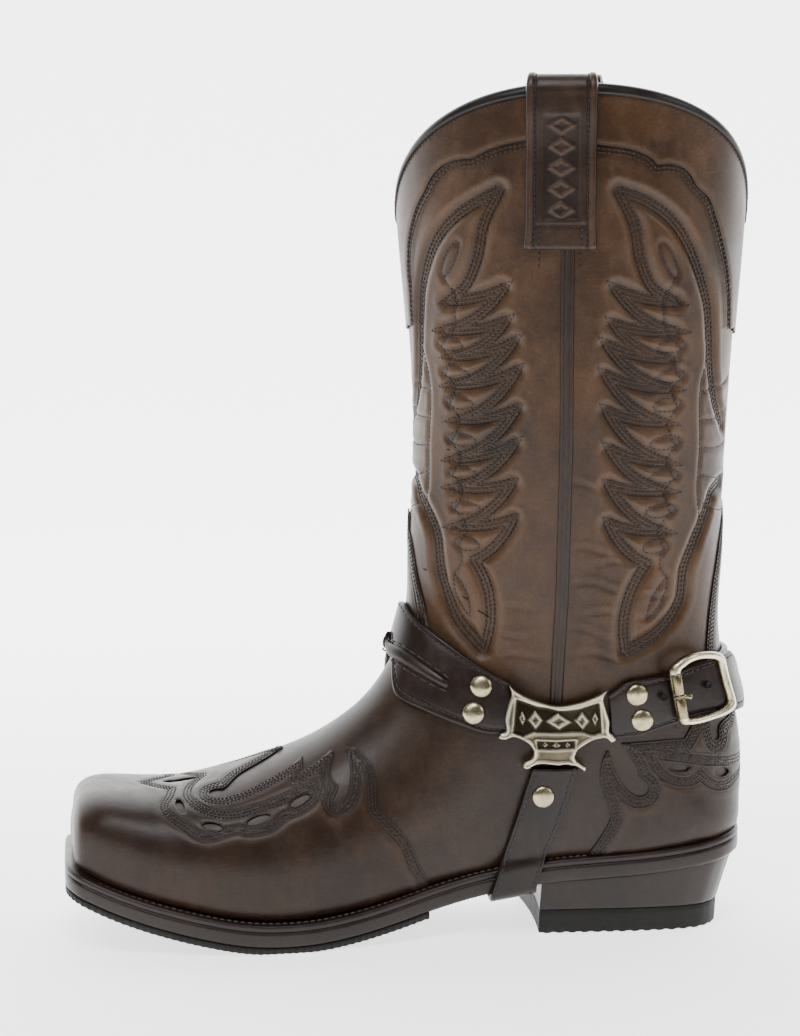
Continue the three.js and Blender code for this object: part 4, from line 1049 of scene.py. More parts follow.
def cut_sheet(name, net, outline, edges, holes, rows, material, slot, thick=OVERLAY_THICK,
              base=0.0, puff=FOOT_PUFF, press=2.0, profile=None):
    """A piece of leather cut to an outline and laid on the skin, with pressed rows of stitching.

    A fine net of the skin is clipped at the zero of a field: the distance in space to the cut
    edges, counted positive inside. The face is lifted by the leather's thickness with a shoulder
    rounded by wear, and a wall closes it down to the skin. Unless a profile is given, the face
    darkens towards the cut edge, takes painted shade along the edges of the stitched bands and a
    painted highlight on the puffed ridges beside them.
    """
    s, a = net[0].ravel(), net[1].ravel()
    points = skin(s, a)
    field = np.full(len(points), NO_BAND)
    for edge in edges:
        field = np.minimum(field, away_from(points, edge))
    inside = in_outline(outline, s, a)
    for hole_s, hole_a, hole in holes:
        field = np.minimum(field, away_from(points, hole))
        shift = 2 * math.pi * np.round((a.mean() - hole_a.mean()) / (2 * math.pi))
        inside &= ~in_outline(np.stack([hole_s, hole_a + shift], 1), s, a)
    field = np.where(inside, np.maximum(field, 1e-4), -np.maximum(field, 1e-4))

    quads = grid_faces(*net[0].shape)
    flip = (np.arange(len(quads)) % 2).astype(bool)[:, None]
    first = np.where(flip, quads[:, [0, 3, 1]], quads[:, [0, 3, 2]])
    second = np.where(flip, quads[:, [3, 2, 1]], quads[:, [0, 2, 1]])
    tris = np.vstack([first, second])
    positive = field[tris] > 0
    count = positive.sum(1)
    whole = tris[count == 3]
    partial = tris[(count == 1) | (count == 2)]
    some = field[partial] > 0
    lone = np.where(some.sum(1) == 1, some.argmax(1), (~some).argmax(1))
    turn = (lone[:, None] + np.arange(3)) % 3
    partial = np.take_along_axis(partial, turn, 1)
    lone_in = field[partial[:, 0]] > 0

    ends = np.vstack([partial[:, [0, 1]], partial[:, [0, 2]]])
    keys = ends.min(1) * np.int64(len(points)) + ends.max(1)
    unique, places = np.unique(keys, return_inverse=True)
    low, high = unique // len(points), unique % len(points)
    share = field[low] / (field[low] - field[high])
    cut_s = s[low] + (s[high] - s[low]) * share
    cut_a = a[low] + (a[high] - a[low]) * share
    on_first = places[:len(partial)] + len(points)
    on_second = places[len(partial):] + len(points)
    small = np.stack([partial[:, 0], on_first, on_second], 1)[lone_in]
    big = np.stack([on_first, partial[:, 1], partial[:, 2], on_second], 1)[~lone_in]
    rim = np.where(lone_in[:, None], np.stack([on_first, on_second], 1), np.stack([on_second, on_first], 1))

    all_s = np.concatenate([s, cut_s])
    all_a = np.concatenate([a, cut_a])
    depth = np.concatenate([field, np.zeros(len(cut_s))])
    used = np.zeros(len(all_s), bool)
    for part in (whole, small, big):
        used[part.ravel()] = True
    renumber = np.cumsum(used) - 1
    all_s, all_a, depth = all_s[used], all_a[used], depth[used]
    bare = skin(all_s, all_a)
    normal = outward(all_s, all_a)
    band = np.full(len(bare), NO_BAND)
    for line in rows:
        band = np.minimum(band, away_from(bare, line))
    beyond = np.maximum(band - press, 0)
    rise = base + thick * (0.66 + 0.34 * smooth_step(np.clip(depth / 0.9, 0, 1)))
    rise += -puff * np.exp(-beyond) + puff * 0.5 * bell(beyond, 2.6, 1.8)
    # Darker towards the cut edge and faintly over the bands, with painted shade along the bands' edges; the next
    # share paints a highlight on the puffed ridges beside them
    deep = 0.6 * np.exp(-depth / 0.45) + 0.04 * np.exp(-beyond / 0.9) + 0.20 * bell(beyond, 0.2, 0.45)
    wear_and_highlight = 0.55 * bell(beyond, 2.2, 1.4)
    if profile is not None:
        rise, deep, wear_and_highlight = profile(depth, bare)
    top = bare + normal * rise[:, None]

    rim = renumber[rim]
    rim_used, rim_places = np.unique(rim, return_inverse=True)
    rim_places = rim_places.reshape(rim.shape)
    wall_top = top[rim_used]
    wall_foot = bare[rim_used] + normal[rim_used] * (base - 0.25)
    start = len(top)
    size = len(rim_used)
    walls = np.stack([
        rim_places[:, 0] + start, rim_places[:, 1] + start,
        rim_places[:, 1] + start + size, rim_places[:, 0] + start + size,
    ], 1)
    make_piece(
        name, np.vstack([top, wall_top, wall_foot]),
        [renumber[whole], renumber[small], renumber[big], walls[:, ::-1]],
        material, slot,
        values={
            "band": np.concatenate([band, np.full(2 * size, NO_BAND)]),
            "deep": np.concatenate([np.minimum(deep, 1), np.full(2 * size, 1.0)]),
            "wear_and_highlight": np.concatenate([np.minimum(wear_and_highlight, 1), np.zeros(2 * size)]),
        },
        replaces=[name],
    )


def sheet_stitches(name, runs, slot, lift=OVERLAY_THICK - FOOT_PUFF, pitch=1.75, radius=FOOT_STITCH):
    """Stitches along runs of stations and angles at a height above the skin, as one piece."""
    shares = (-0.40, -0.18, 0.18, 0.40)
    stops = [pitched(np.stack([s, a], 1), pitch, run_along(skin(s, a)), shares) for s, a in runs]
    stops = np.concatenate(stops)
    normal = outward(stops[..., 0], stops[..., 1])
    points, faces = rods(skin(stops[..., 0], stops[..., 1]) + normal * lift, normal, radius)
    make_piece(name, points, faces, brown_thread, slot)


def rows_inside(edges, offsets, sign=1):
    """Rows at distances inside the edges of both sides, as runs of stations and angles."""
    rows = [rows_beside(edges[side], offset * sign * side) for side in (-1, 1) for offset in offsets]
    return [run for row in rows for run in row]


def on_skin(runs):
    """Points on the skin of runs of stations and angles."""
    return [skin(s, a) for s, a in runs]


foot_rows = np.concatenate([np.linspace(-TOE_CAP, 0, 9)[:-1], np.linspace(0, STATIONS[22], 165)])
foot_net = even_net(foot_rows, 0, 2 * math.pi, 161)
foot_angles = foot_net[1][:, :-1]
foot_stations = np.minimum(foot_net[0][:, :-1], at_height(foot_angles, split_height(foot_angles) + 1.5))
underlay_leather = leather(
    "underlay_leather", (0.0100, 0.0044, 0.0020), (0.0260, 0.0125, 0.0062), (0.065, 0.038, 0.023), ribs=False,
)
make_piece(
    "foot", skin(foot_stations, foot_angles), grid_faces(*foot_angles.shape, closed=True)[:, ::-1],
    underlay_leather, "vamp_leather",
)


# Toe overlay
# The vamp's cut leather: a flame-cut back edge, a leaf on the instep and oval windows, with
# three rows of stitching inside every edge and round the long leaf on each side.
TOE_STROKES = [
    # from the welt up the back edge, round the flames to the leaf's tip on the centre line
    [(-89.5, -26, 18), (-92, -31, 26), (-96.7, -36.5, 35), (-102.6, -38, 48), (-108.7, -37.5, 54.6),
     (-115.4, -36.5, 61.5)],
    [(-115.4, -36.5, 61.5), (-115.4, -34, 70), (-116.6, -29.5, 78), (-119.6, -26.5, 82.5),
     (-123.3, -23, 85), (-128.3, -21, 85.7)],
    [(-128.3, -21, 85.7), (-127.4, -25, 82), (-127.1, -29, 77), (-127.9, -32.5, 71),
     (-129.6, -35.5, 66.5), (-132.2, -37, 63.8),
     (-134.9, -37, 63.2), (-135.4, -36, 65), (-134, -34.7, 68), (-132.3, -33, 71)],
    [(-132.3, -33, 71), (-134.5, -31, 73.3), (-135.6, -29.5, 75.5), (-135.2, -26, 79.4),
     (-133.4, -20, 84.7)],
    [(-133.4, -20, 84.7), (-140.4, -22, 80.3), (-147.9, -24.5, 76)],
    [(-147.9, -24.5, 76), (-147.2, -16.5, 81.2)],
    [(-147.2, -16.5, 81.2), (-150.5, -19, 78.5), (-157, -21.5, 75.5), (-164.5, -24, 72),
     (-172.5, -26, 68.7), (-178.5, -27, 66.8),
     (-184, -27.3, 65.6), (-187.5, -26, 65.5), (-189.3, -23.5, 66), (-189, -20.8, 67),
     (-186.5, -20, 67.6), (-183.3, -21.6, 67.8)],
    [(-183.3, -21.6, 67.8), (-181, -19.5, 69), (-178.5, -16, 71), (-175.5, -12.5, 72.7),
     (-168.5, -9, 75.8), (-161.5, -5.5, 78.7),
     (-154.5, 0, 82)],
]
LEAF_STROKES = [
    # outer side of the stitched leaf from the centre line's star point, then its inner side
    [(-218.5, 0, 66), (-212, -7, 66), (-205.5, -12.5, 66)],
    [(-205.5, -12.5, 66), (-207.3, -21, 64.5), (-209.6, -28, 62), (-208.3, -33, 60),
     (-204.5, -36.5, 58), (-200, -39, 55.5),
     (-196, -41.3, 53), (-191.5, -42.3, 51.7), (-187, -42, 52.3), (-182.5, -41.5, 53.6),
     (-177.3, -41.3, 54.7)],
    [(-177.3, -41.3, 54.7), (-173.5, -42, 53.7), (-168, -42, 54.2), (-163, -41.3, 55.5),
     (-159.5, -40, 57.7), (-157, -39, 59.7)],
    [(-157, -39, 59.7), (-153.5, -38.5, 60.7), (-148, -37.3, 63), (-144, -35.5, 65.7),
     (-141.7, -33.2, 69), (-141.3, -30.2, 72.3)],
    [(-141.3, -30.2, 72.3), (-144.5, -31.5, 70.5), (-149, -32.5, 69), (-154, -33.5, 66.7),
     (-159, -34.5, 65), (-166, -35.5, 63),
     (-172, -36, 61.3), (-179, -36.5, 60), (-185.5, -35.5, 60), (-191.5, -33, 61), (-196.5, -28, 63),
     (-199, -21.5, 64.7),
     (-198, -13, 66.3), (-194.5, -6, 67.5), (-190.5, 0, 69)],
]
TOE_WINDOWS = [
    # two ends and half width
    ((-203.6, -24, 64), (-201.6, -33.3, 59.7), 1.9),
    ((-193.3, -38.8, 56.4), (-184.4, -40.3, 54.9), 1.7),
    ((-173.8, -40, 56.5), (-163.4, -38.3, 59.6), 1.9),
    ((-154.3, -36.4, 63.2), (-145.4, -34, 67.4), 1.9),
]
CENTRE_WINDOW = ((-209.5, 0, 66), (-193.5, 0, 68.3), 2.6)

toe_edge, toe_leaf, toe_holes = {}, {}, []
for side in (-1, 1):
    toe_edge[side] = laid(TOE_STROKES, side, high=STATIONS[15])
    toe_leaf[side] = laid(LEAF_STROKES, side, high=STATIONS[13])
    toe_holes += [oval_on(start, end, half, side) for start, end, half in TOE_WINDOWS]
toe_holes.append(oval_on(*CENTRE_WINDOW, -1))
toe_bands = on_skin(rows_inside(toe_edge, EDGE_ROWS[1:2], -1)) + [toe_leaf[side][2] for side in (-1, 1)]
past_end, past_side = TOE_CAP + 1, math.pi + 0.1
toe_outline = np.vstack([
    np.stack(toe_edge[-1][:2], 1), np.stack(toe_edge[1][:2], 1)[::-1],
    [(STATIONS[8], -past_side), (-past_end, -past_side), (-past_end, past_side), (STATIONS[8], past_side)],
])
toe_stations = np.concatenate([np.linspace(-TOE_CAP, 0, 8)[:-1], np.linspace(0, STATIONS[15], 165)])
cut_sheet(
    "toe_overlay", even_net(toe_stations, -math.pi, math.pi, 205), toe_outline,
    [toe_edge[-1][2], toe_edge[1][2]], toe_holes, toe_bands, vamp_leather, "vamp_leather",
)
toe_runs = rows_inside(toe_edge, EDGE_ROWS, -1) + rows_inside(toe_leaf, LEAF_ROWS)
sheet_stitches("toe_stitches", toe_runs, "vamp_leather")


# Counter overlay
# The heel's cut leather: an open flame in front, a leaf and a tongue behind, and a narrow
# point up the back of the shaft, sewn with three rows like the toe.
COUNTER_STROKES = [
    [(-21.5, -33.5, 33), (-18.5, -36, 40), (-15.5, -37, 45), (-12.5, -37.5, 50.5), (-10.6, -38, 54.8)],
    [(-10.6, -38, 54.8), (-12, -38, 60), (-14.6, -38.5, 66.5), (-15.9, -38.5, 73), (-15.2, -38.5, 80),
     (-12.5, -38.5, 86.5)],
    [(-12.5, -38.5, 86.5), (-10.5, -38.5, 79.5), (-7, -38.5, 72), (-2.3, -39, 66.3), (1.3, -39, 64.3),
     (4.8, -39, 65),
     (6.2, -39, 68), (4.8, -39, 70.5), (1.6, -39, 72.7)],
    [(1.6, -39, 72.7), (0.8, -39, 76.5), (-2.3, -39, 82), (-7.6, -39, 88.6)],
    [(-7.6, -39, 88.6), (4.5, -39.5, 89.3), (17.5, -38, 89.8), (22.2, -37, 89.6)],
    [(22.2, -37, 89.6), (24.5, -36.3, 93.5), (28, -35, 99), (31.5, -33, 108), (34.6, -30.5, 120),
     (36.6, -28, 133),
     (38, -25.5, 147), (39, -23, 162), (40.5, -18, 178), (46, -6, 193), (48, 0, 197)],
]
COUNTER_LEAF = [
    [(51.5, 0, 76), (47.5, -19, 76.3), (41.5, -29, 77.5), (29, -35.5, 80), (17.5, -38, 82.3),
     (6.5, -39, 84)],
    [(6.5, -39, 84), (9, -39, 78.5), (13, -39, 74), (17.5, -38.5, 71.3), (22.5, -37.5, 70.4),
     (27.5, -36, 71.3), (30, -35.5, 73.4)],
    [(30, -35.5, 73.4), (33, -34, 70), (37, -32, 67.3), (42, -29, 66.3), (47.5, -22, 68),
     (50.5, -11, 70.5), (51.5, 0, 72)],
]
COUNTER_TONGUE = [
    [(33.4, -32.5, 102), (34.3, -32, 97), (35.6, -31.8, 91), (37.3, -31, 87.3), (39.3, -29.8, 87.6),
     (39.8, -29.4, 90),
     (39.3, -29.5, 92.5)],
    [(39.3, -29.5, 92.5), (41.5, -27, 94.7), (45.5, -21.5, 96.5), (47.5, -17, 102)],
    [(47.5, -17, 102), (40, -27, 103), (33.4, -32.5, 102)],
]
COUNTER_WINDOWS = [
    ((14.8, -38.5, 77.4), (25.4, -36.5, 76.4), 1.8),
    ((36.3, -32.6, 73.2), (44.6, -26.5, 71.6), 2.1),
]
counter_edge, counter_leaf, counter_tongue, counter_holes = {}, {}, {}, []
for side in (-1, 1):
    counter_edge[side] = laid(COUNTER_STROKES, side)
    counter_leaf[side] = laid(COUNTER_LEAF, side)
    counter_tongue[side] = laid(COUNTER_TONGUE, side)
    counter_holes += [oval_on(start, end, half, side) for start, end, half in COUNTER_WINDOWS]
for line in (*counter_edge.values(), *counter_leaf.values(), *counter_tongue.values(), *counter_holes):
    line[1][:] = np.mod(line[1], 2 * math.pi)
counter_bands = [counter_leaf[side][2] for side in (-1, 1)]
counter_runs = rows_inside(counter_leaf, LEAF_ROWS)
for edge in (counter_edge, counter_tongue):
    counter_bands += on_skin(rows_inside(edge, EDGE_ROWS[1:2]))
    counter_runs += rows_inside(edge, EDGE_ROWS)
counter_outline = np.vstack([
    np.stack(counter_edge[-1][:2], 1), np.stack(counter_edge[1][:2], 1)[::-1], [(STATIONS[2], math.pi)],
])
cut_sheet(
    "counter", even_net(np.linspace(STATIONS[13], STATIONS[26], 165), 1.2, 2 * math.pi - 1.2, 185),
    counter_outline, [counter_edge[-1][2], counter_edge[1][2]], counter_holes + list(counter_tongue.values()),
    counter_bands, vamp_leather, "vamp_leather",
)
sheet_stitches("counter_stitches", counter_runs, "vamp_leather")


# Collar
# A scalloped band of shaft leather round the mouth, sewn down with two rows.
COLLAR_STROKES = [
    [(-96.2, 273.5), (-97.2, 289), (-98.2, 302), (-97.8, 314.5), (-94.4, 329), (-92.6, 333)],
    [(-92.6, 333), (-89.6, 340), (-85, 344.8), (-79.5, 347), (-74.7, 347.4)],
    [(-74.7, 347.4), (-67.8, 351.1), (-51.4, 355.2), (-37, 355.6), (-22.7, 353.4), (-6.1, 350.6),
     (0.3, 347.5), (2.9, 344.7)],
    [(2.9, 344.7), (9.4, 345.1), (16, 342.6), (21.7, 335)],
    [(21.7, 335), (26.7, 331), (31.5, 321), (36.0, 308), (38.8, 298), (40.6, 286), (41.4, 273)],
]
COLLAR_FRONT, COLLAR_BACK = 270.0, 269.0
TOP_ROW = 3.2
collar_edge = {side: laid(COLLAR_STROKES, side, axes=(0, 2), low=STATIONS[22]) for side in (-1, 1)}
collar_edge[1][1][:] = np.mod(collar_edge[1][1], 2 * math.pi)
topline_angles = np.linspace(0, 2 * math.pi, 361)
topline_stations = at_height(topline_angles, topline(topline_angles) - 0.5)
topline_line = skin(topline_stations, topline_angles)
collar_outline = np.vstack([
    [(station_at(0.0, COLLAR_FRONT), -0.001)],
    np.stack(collar_edge[-1][:2], 1),
    [(station_at(math.pi, COLLAR_BACK), math.pi)],
    np.stack(collar_edge[1][:2], 1)[::-1],
    [(station_at(0.0, COLLAR_FRONT), 2 * math.pi + 0.001)],
    np.stack([topline_stations, topline_angles], 1)[::-1],
    [(topline_stations[0], -0.001)],
])
collar_runs = rows_inside(collar_edge, (1.3, 3.0))
collar_runs.append((at_height(topline_angles, topline(topline_angles) - TOP_ROW), topline_angles))
cut_sheet(
    "collar", even_net(np.linspace(STATIONS[25], LAST_STATION, 120), 0, 2 * math.pi, 330), collar_outline,
    [collar_edge[-1][2], collar_edge[1][2], topline_line], [], on_skin(rows_inside(collar_edge, (2.1,))),
    shaft_leather, "shaft_leather", base=0.1, thick=1.1, puff=0.2, press=1.4,
)
sheet_stitches("collar_stitches", collar_runs, "shaft_leather", lift=1.05, pitch=2.2, radius=0.3)


# Tongue
# The vamp's leather runs up the front of the shaft in a narrow point, its foot under the strap.
TONGUE_STROKES = [[(-84.5, 119), (-88.2, 131), (-90.2, 139.7), (-91.8, 150.2), (-94, 160.8),
                   (-95.8, 173.9), (-97.2, 186)]]
TONGUE_TOP = 190.0
tongue_tip = station_at(0.0, TONGUE_TOP)
tongue_edge = {}
for side in (-1, 1):
    line_s, line_a, _ = laid(TONGUE_STROKES, side, axes=(0, 2), low=STATIONS[13], high=STATIONS[24])
    line_s, line_a = np.append(line_s, tongue_tip), np.append(line_a, 0)
    tongue_edge[side] = (line_s, line_a, skin(line_s, line_a))
tongue_outline = np.vstack([np.stack(tongue_edge[-1][:2], 1), np.stack(tongue_edge[1][:2], 1)[-2::-1]])
cut_sheet(
    "tongue", even_net(np.linspace(STATIONS[13], STATIONS[24], 110), -1.2, 1.2, 70), tongue_outline,
    [tongue_edge[-1][2], tongue_edge[1][2]], [], on_skin(rows_inside(tongue_edge, (1.9,), -1)),
    vamp_leather, "vamp_leather",
)
sheet_stitches("tongue_stitches", rows_inside(tongue_edge, EDGE_ROWS[:2], -1), "vamp_leather")


# Side seams
# Each side of the shaft is closed by a seam under a strip of leather, pressed into three fine
# ridges of piping that run from under the harness to the pull strap.
def tube(rings, closed=False):
    """Points and outward faces of a swept section: quads between rings, open ends closed by fans."""
    rings = np.asarray(rings, float)
    count, around = rings.shape[:2]
    i, j = np.meshgrid(np.arange(count if closed else count - 1), np.arange(around), indexing="ij")
    below, after = (i + 1) % count, (j + 1) % around
    quads = np.stack([
        i * around + j, i * around + after, below * around + after, below * around + j,
    ], -1).reshape(-1, 4)
    points = rings.reshape(-1, 3)
    fans = np.zeros((0, 3), int)
    if not closed:
        hubs = np.array([rings[0].mean(0), rings[-1].mean(0)])
        k = np.arange(around)
        last = (count - 1) * around
        first_fan = np.stack([(k + 1) % around, k, np.full(around, count * around)], 1)
        last_fan = np.stack([last + k, last + (k + 1) % around, np.full(around, count * around + 1)], 1)
        points = np.vstack([points, hubs])
        fans = np.vstack([first_fan, last_fan])
    tris = np.vstack([quads[:, [0, 1, 2]], quads[:, [0, 2, 3]], fans])
    p = points[tris] - points.mean(0)
    if np.einsum("ij,ij->i", p[:, 0], np.cross(p[:, 1], p[:, 2])).sum() < 0:
        quads, fans = quads[:, ::-1], fans[:, ::-1]
    return points, [quads, fans]


strap_leather = leather(
    "strap_leather", (0.0045, 0.0020, 0.0013), (0.0110, 0.0050, 0.0033), (0.050, 0.028, 0.018),
    roughness=0.37, coat=0.10, grain=0.8, ribs=False,
)
seam_leather = leather(
    "seam_leather", (0.0080, 0.0034, 0.0015), (0.0220, 0.0100, 0.0045), (0.080, 0.045, 0.025),
    roughness=0.42, coat=0.08, ribs=False,
)
SEAM_HALF = 2.9
SEAM_SECTION = [
    # share of the half width, lift
    (-1, -0.6), (-1, 0.3), (-0.82, 1.0), (-0.6, 1.25), (-0.4, 0.55), (-0.22, 1.1), (0, 1.45), (0.22, 1.1),
    (0.4, 0.55), (0.6, 1.25), (0.82, 1.0), (1, 0.3), (1, -0.6),
]
for side, side_name in ((-1, "lateral"), (1, "medial")):
    z = np.linspace(97, 312, 130)
    rings = []
    for w, lift in SEAM_SECTION:
        s, a = on_shaft(np.full(z.shape, w * SEAM_HALF), z, side)
        rings.append(skin(s, a) + outward(s, a) * lift)
    node_name = "side_seam_" + side_name
    make_piece(node_name, *tube(np.stack(rings, 1)), seam_leather, "strap_leather", replaces=[node_name])


# Binding
# A black strip of leather folded over the topline and glued down inside and out. Its section
# is given as lift from the skin and rise over the topline.
BINDING_SECTION = [(0.9, -1.8), (1.7, -2.0), (2.0, -0.8), (1.8, 1.0), (0.9, 2.3), (-0.8, 2.8),
                   (-2.6, 2.4), (-3.7, 1.0),
                   (-3.9, -2), (-3.7, -4.4), (-2.8, -4.4), (-2.4, -1)]
binding_leather = leather(
    "binding_leather", (0.004, 0.003, 0.0025), (0.008, 0.0055, 0.0045), (0.03, 0.024, 0.02),
    roughness=0.38, coat=0.12, grain=0.6, ribs=False,
)
binding_angles = even_angles(300, 340.0)
binding_rings = []
for lift, rise in BINDING_SECTION:
    s = at_height(binding_angles, topline(binding_angles) + rise)
    binding_rings.append(skin(s, binding_angles) + outward(s, binding_angles) * lift)
make_piece(
    "topline_binding", *tube(np.stack(binding_rings, 1), closed=True), binding_leather, "binding_leather",
    replaces=["topline_binding"],
)


# Harness straps
# Bridle leather with rounded edges, stitched near both edges; the ends fold round the plates'
# bars. Each is a band between two edge lines on the boot's skin, lifted off it.
STRAP_LIFT = 1.9
STRAP_THICK = 2.6
ON_STRAP = 4.8
ROW_PLACE = 0.81
ROW_HEIGHT = 0.93
BACK_END = 0.475
FREE_END_RISE = STRAP_THICK + 0.3
STRAP_PROFILE = [(-1, 0), (-1, 0.35), (-0.985, 0.72), (-0.955, 0.93), (-0.91, 1.0), (-0.86, 0.97),
                 (-0.81, 0.90), (-0.76, 0.98),
                 (-0.66, 1.05), (-0.4, 1.10), (0, 1.12)]
STRAP_PROFILE += [(-w, h) for w, h in STRAP_PROFILE[-2::-1]]


def edge_line(side_points, centre, axes=(0, 2), back=False, **limits):
    """Edge of a strap as a smooth curve of station and angle.

    It runs from one side's end over the front or back line, at the centre's height, to the other.
    """
    rows = []
    for side in (-1, 1):
        places = np.array(side_points, float)
        if len(axes) == 3 and side > 0:
            places[:, 1] *= -1
        s, a = settle(places, axes, side if len(axes) == 2 else 0, **limits)
        rows.append(np.stack([s, np.mod(a, 2 * math.pi) if back else a], 1))
    line_angle = math.pi if back else 0.0
    controls = np.vstack([rows[0], [(station_at(line_angle, centre), line_angle)], rows[1][::-1]])
    keys = run_along(skin(controls[:, 0], controls[:, 1]))
    return flowing(keys / keys[-1], controls)


def strap_grid(top, bottom, shares, lifts, profile=STRAP_PROFILE, thick=STRAP_THICK, from_to=(0, 1)):
    """Section rings of a strap between two edge curves; lifts give its underside along the way."""
    u = from_to[0] + (from_to[1] - from_to[0]) * shares
    high, low = top(u), bottom(u)
    rings = []
    for w, h in profile:
        place = low + (high - low) * (w + 1) / 2
        s, a = place[:, 0], place[:, 1]
        rings.append(skin(s, a) + outward(s, a) * (lifts + h * thick)[:, None])
    return np.stack(rings, 1)


def strap_rows(top, bottom, from_u, to_u, w=ROW_PLACE):
    """Two runs along a strap, at a share of its half width on either side of its middle."""
    return [strap_row(top, bottom, from_u, to_u, share) for share in (-w, w)]


def strap_row(top, bottom, from_u, to_u, w):
    """A run along a strap at a share of its half width."""
    u = np.linspace(from_u, to_u, 160)
    high, low = top(u), bottom(u)
    place = low + (high - low) * (w + 1) / 2
    return place[:, 0], place[:, 1]


strap_thread = thread_material("strap_thread", (0.016, 0.011, 0.009))
front_top = edge_line(
    [(-55.4, 116.2), (-63, 120.2), (-72.3, 125.7), (-80.5, 131.6), (-88.3, 137.5), (-94.5, 142.5)], 147.0,
    low=STATIONS[11], high=STATIONS[22],
)
front_low = edge_line(
    [(-54, 95.5), (-59, 93.9), (-66.4, 93.6), (-79.9, 97.6), (-92.7, 102.3), (-103.5, 106.9)], 111.5,
    low=STATIONS[10], high=STATIONS[20],
)
shares = np.linspace(0, 1, 150)
ends = np.clip(np.minimum(shares, 1 - shares) / 0.012, 0, 1)
points, faces = tube(strap_grid(front_top, front_low, shares, STRAP_LIFT - 1.6 * (1 - ends)))
make_piece(
    "strap_front", points, faces, strap_leather, "strap_leather", replaces=["strap_front"],
    values={"band": np.full(len(points), NO_BAND)},
)
strap_runs = strap_rows(front_top, front_low, 0.035, 0.965)
for u in (0.035, 0.965):
    high, low = front_top(np.array([u])), front_low(np.array([u]))
    place = low + (high - low) * np.linspace(0.1, 0.9, 60)[:, None]
    strap_runs.append((place[:, 0], place[:, 1]))

# The padded band on the front strap, sewn beside both edges with long stitches
band_top = edge_line(
    [(-81.5, 116.4), (-86, 119.6), (-92, 123.6), (-98, 127.4), (-103, 130.6)], 132.5,
    low=STATIONS[11], high=STATIONS[21],
)
band_low = edge_line(
    [(-82.5, 112.2), (-87, 114.2), (-93, 117.4), (-99, 121), (-104, 124)], 126.0,
    low=STATIONS[11], high=STATIONS[21],
)
PAD_PROFILE = [(-1, -0.2), (-0.96, 0.25), (-0.8, 0.62), (-0.5, 0.92), (0, 1.05), (0.5, 0.92),
               (0.8, 0.62), (0.96, 0.25), (1, -0.2)]
shares = np.linspace(0, 1, 90)
taper = np.clip(np.minimum(shares, 1 - shares) / 0.03, 0, 1) ** 0.5
pad_lifts = STRAP_LIFT + 2.5 - 1.5 * (1 - taper)
make_piece(
    "strap_front_band", *tube(strap_grid(band_top, band_low, shares, pad_lifts, PAD_PROFILE, 1.9)),
    strap_leather, "strap_leather", replaces=["strap_front_band"],
)
pad_runs = strap_rows(band_top, band_low, 0.0, 1.0, 1.35)

# Back strap round the heel, and its free end from the outer plate through the buckle
BACK_TOP = [(-13, -39.5, 112.3), (-6.7, -40, 116.7), (6, -40, 119.1), (15.7, -39, 120.6),
            (25, -36, 122.8), (34, -31, 125), (42, -22, 126)]
BACK_LOW = [(-11, -39, 91.4), (-1.9, -39, 92.2), (8, -39, 95), (20.3, -37.3, 98.2), (28, -35, 99.3),
            (36, -31, 99.2), (43, -23, 98.8)]
back_top = edge_line(BACK_TOP, 126.0, axes=(0, 1, 2), back=True)
back_low = edge_line(BACK_LOW, 98.0, axes=(0, 1, 2), back=True)
shares = np.linspace(0, 1, 130)
back_rings = strap_grid(back_top, back_low, shares, np.full(len(shares), STRAP_LIFT), from_to=(0.36, 1.0))
make_piece("strap_back", *tube(back_rings), strap_leather, "strap_leather", replaces=["strap_back"])
strap_runs += strap_rows(back_top, back_low, 0.52, 0.965)
shares = np.linspace(0, 1, 150)
rise = smooth_step(np.clip((shares * BACK_END - 0.24) / 0.09, 0, 1))
rings = strap_grid(back_top, back_low, shares, STRAP_LIFT + FREE_END_RISE * rise, from_to=(0.0, BACK_END))
narrow = np.clip((1 - shares) / 0.16, 0.02, 1)[:, None, None] ** 0.8
middle = rings.mean(1, keepdims=True)
rings = np.where(shares[:, None, None] > 0.84, middle + (rings - middle) * narrow, rings)
make_piece("strap_free_end", *tube(rings), strap_leather, "strap_leather", replaces=["strap_free_end"])
end_runs = strap_rows(back_top, back_low, 0.03, 0.40)


def strap_stitches(name, runs, lift_of, pitch, radius):
    """Stitches along runs on a strap, at lifts given for the places along it."""
    places = np.concatenate([pitched(skin(s, a), pitch) for s, a in runs])
    flat = places.reshape(-1, 3)
    s, a = settle(flat)
    normal = outward(s, a)
    lifted = skin(s, a) + normal * lift_of(flat)[:, None]
    points, faces = rods(lifted.reshape(places.shape), normal.reshape(places.shape), radius)
    make_piece(name, points, faces, strap_thread, "strap_leather")


def over_plate(places):
    """Lift of the free end's rows: the strap's own, then over the strap under it at the buckle."""
    return STRAP_LIFT + STRAP_THICK * ROW_HEIGHT + FREE_END_RISE * np.interp(places[:, 0], [19, 33], [0, 1])


def even_lift(share):
    """A lift that stays at a share of the strap's thickness."""
    return lambda places: np.full(len(places), STRAP_LIFT + STRAP_THICK * share)


STRAP_PITCH, STRAP_STITCH = 2.6, 0.34
strap_stitches("strap_stitches", strap_runs, even_lift(ROW_HEIGHT), STRAP_PITCH, STRAP_STITCH)
strap_stitches("band_stitches", pad_runs, even_lift(1.12), 4.2, 0.42)
strap_stitches("free_end_stitches", end_runs, over_plate, STRAP_PITCH, STRAP_STITCH)


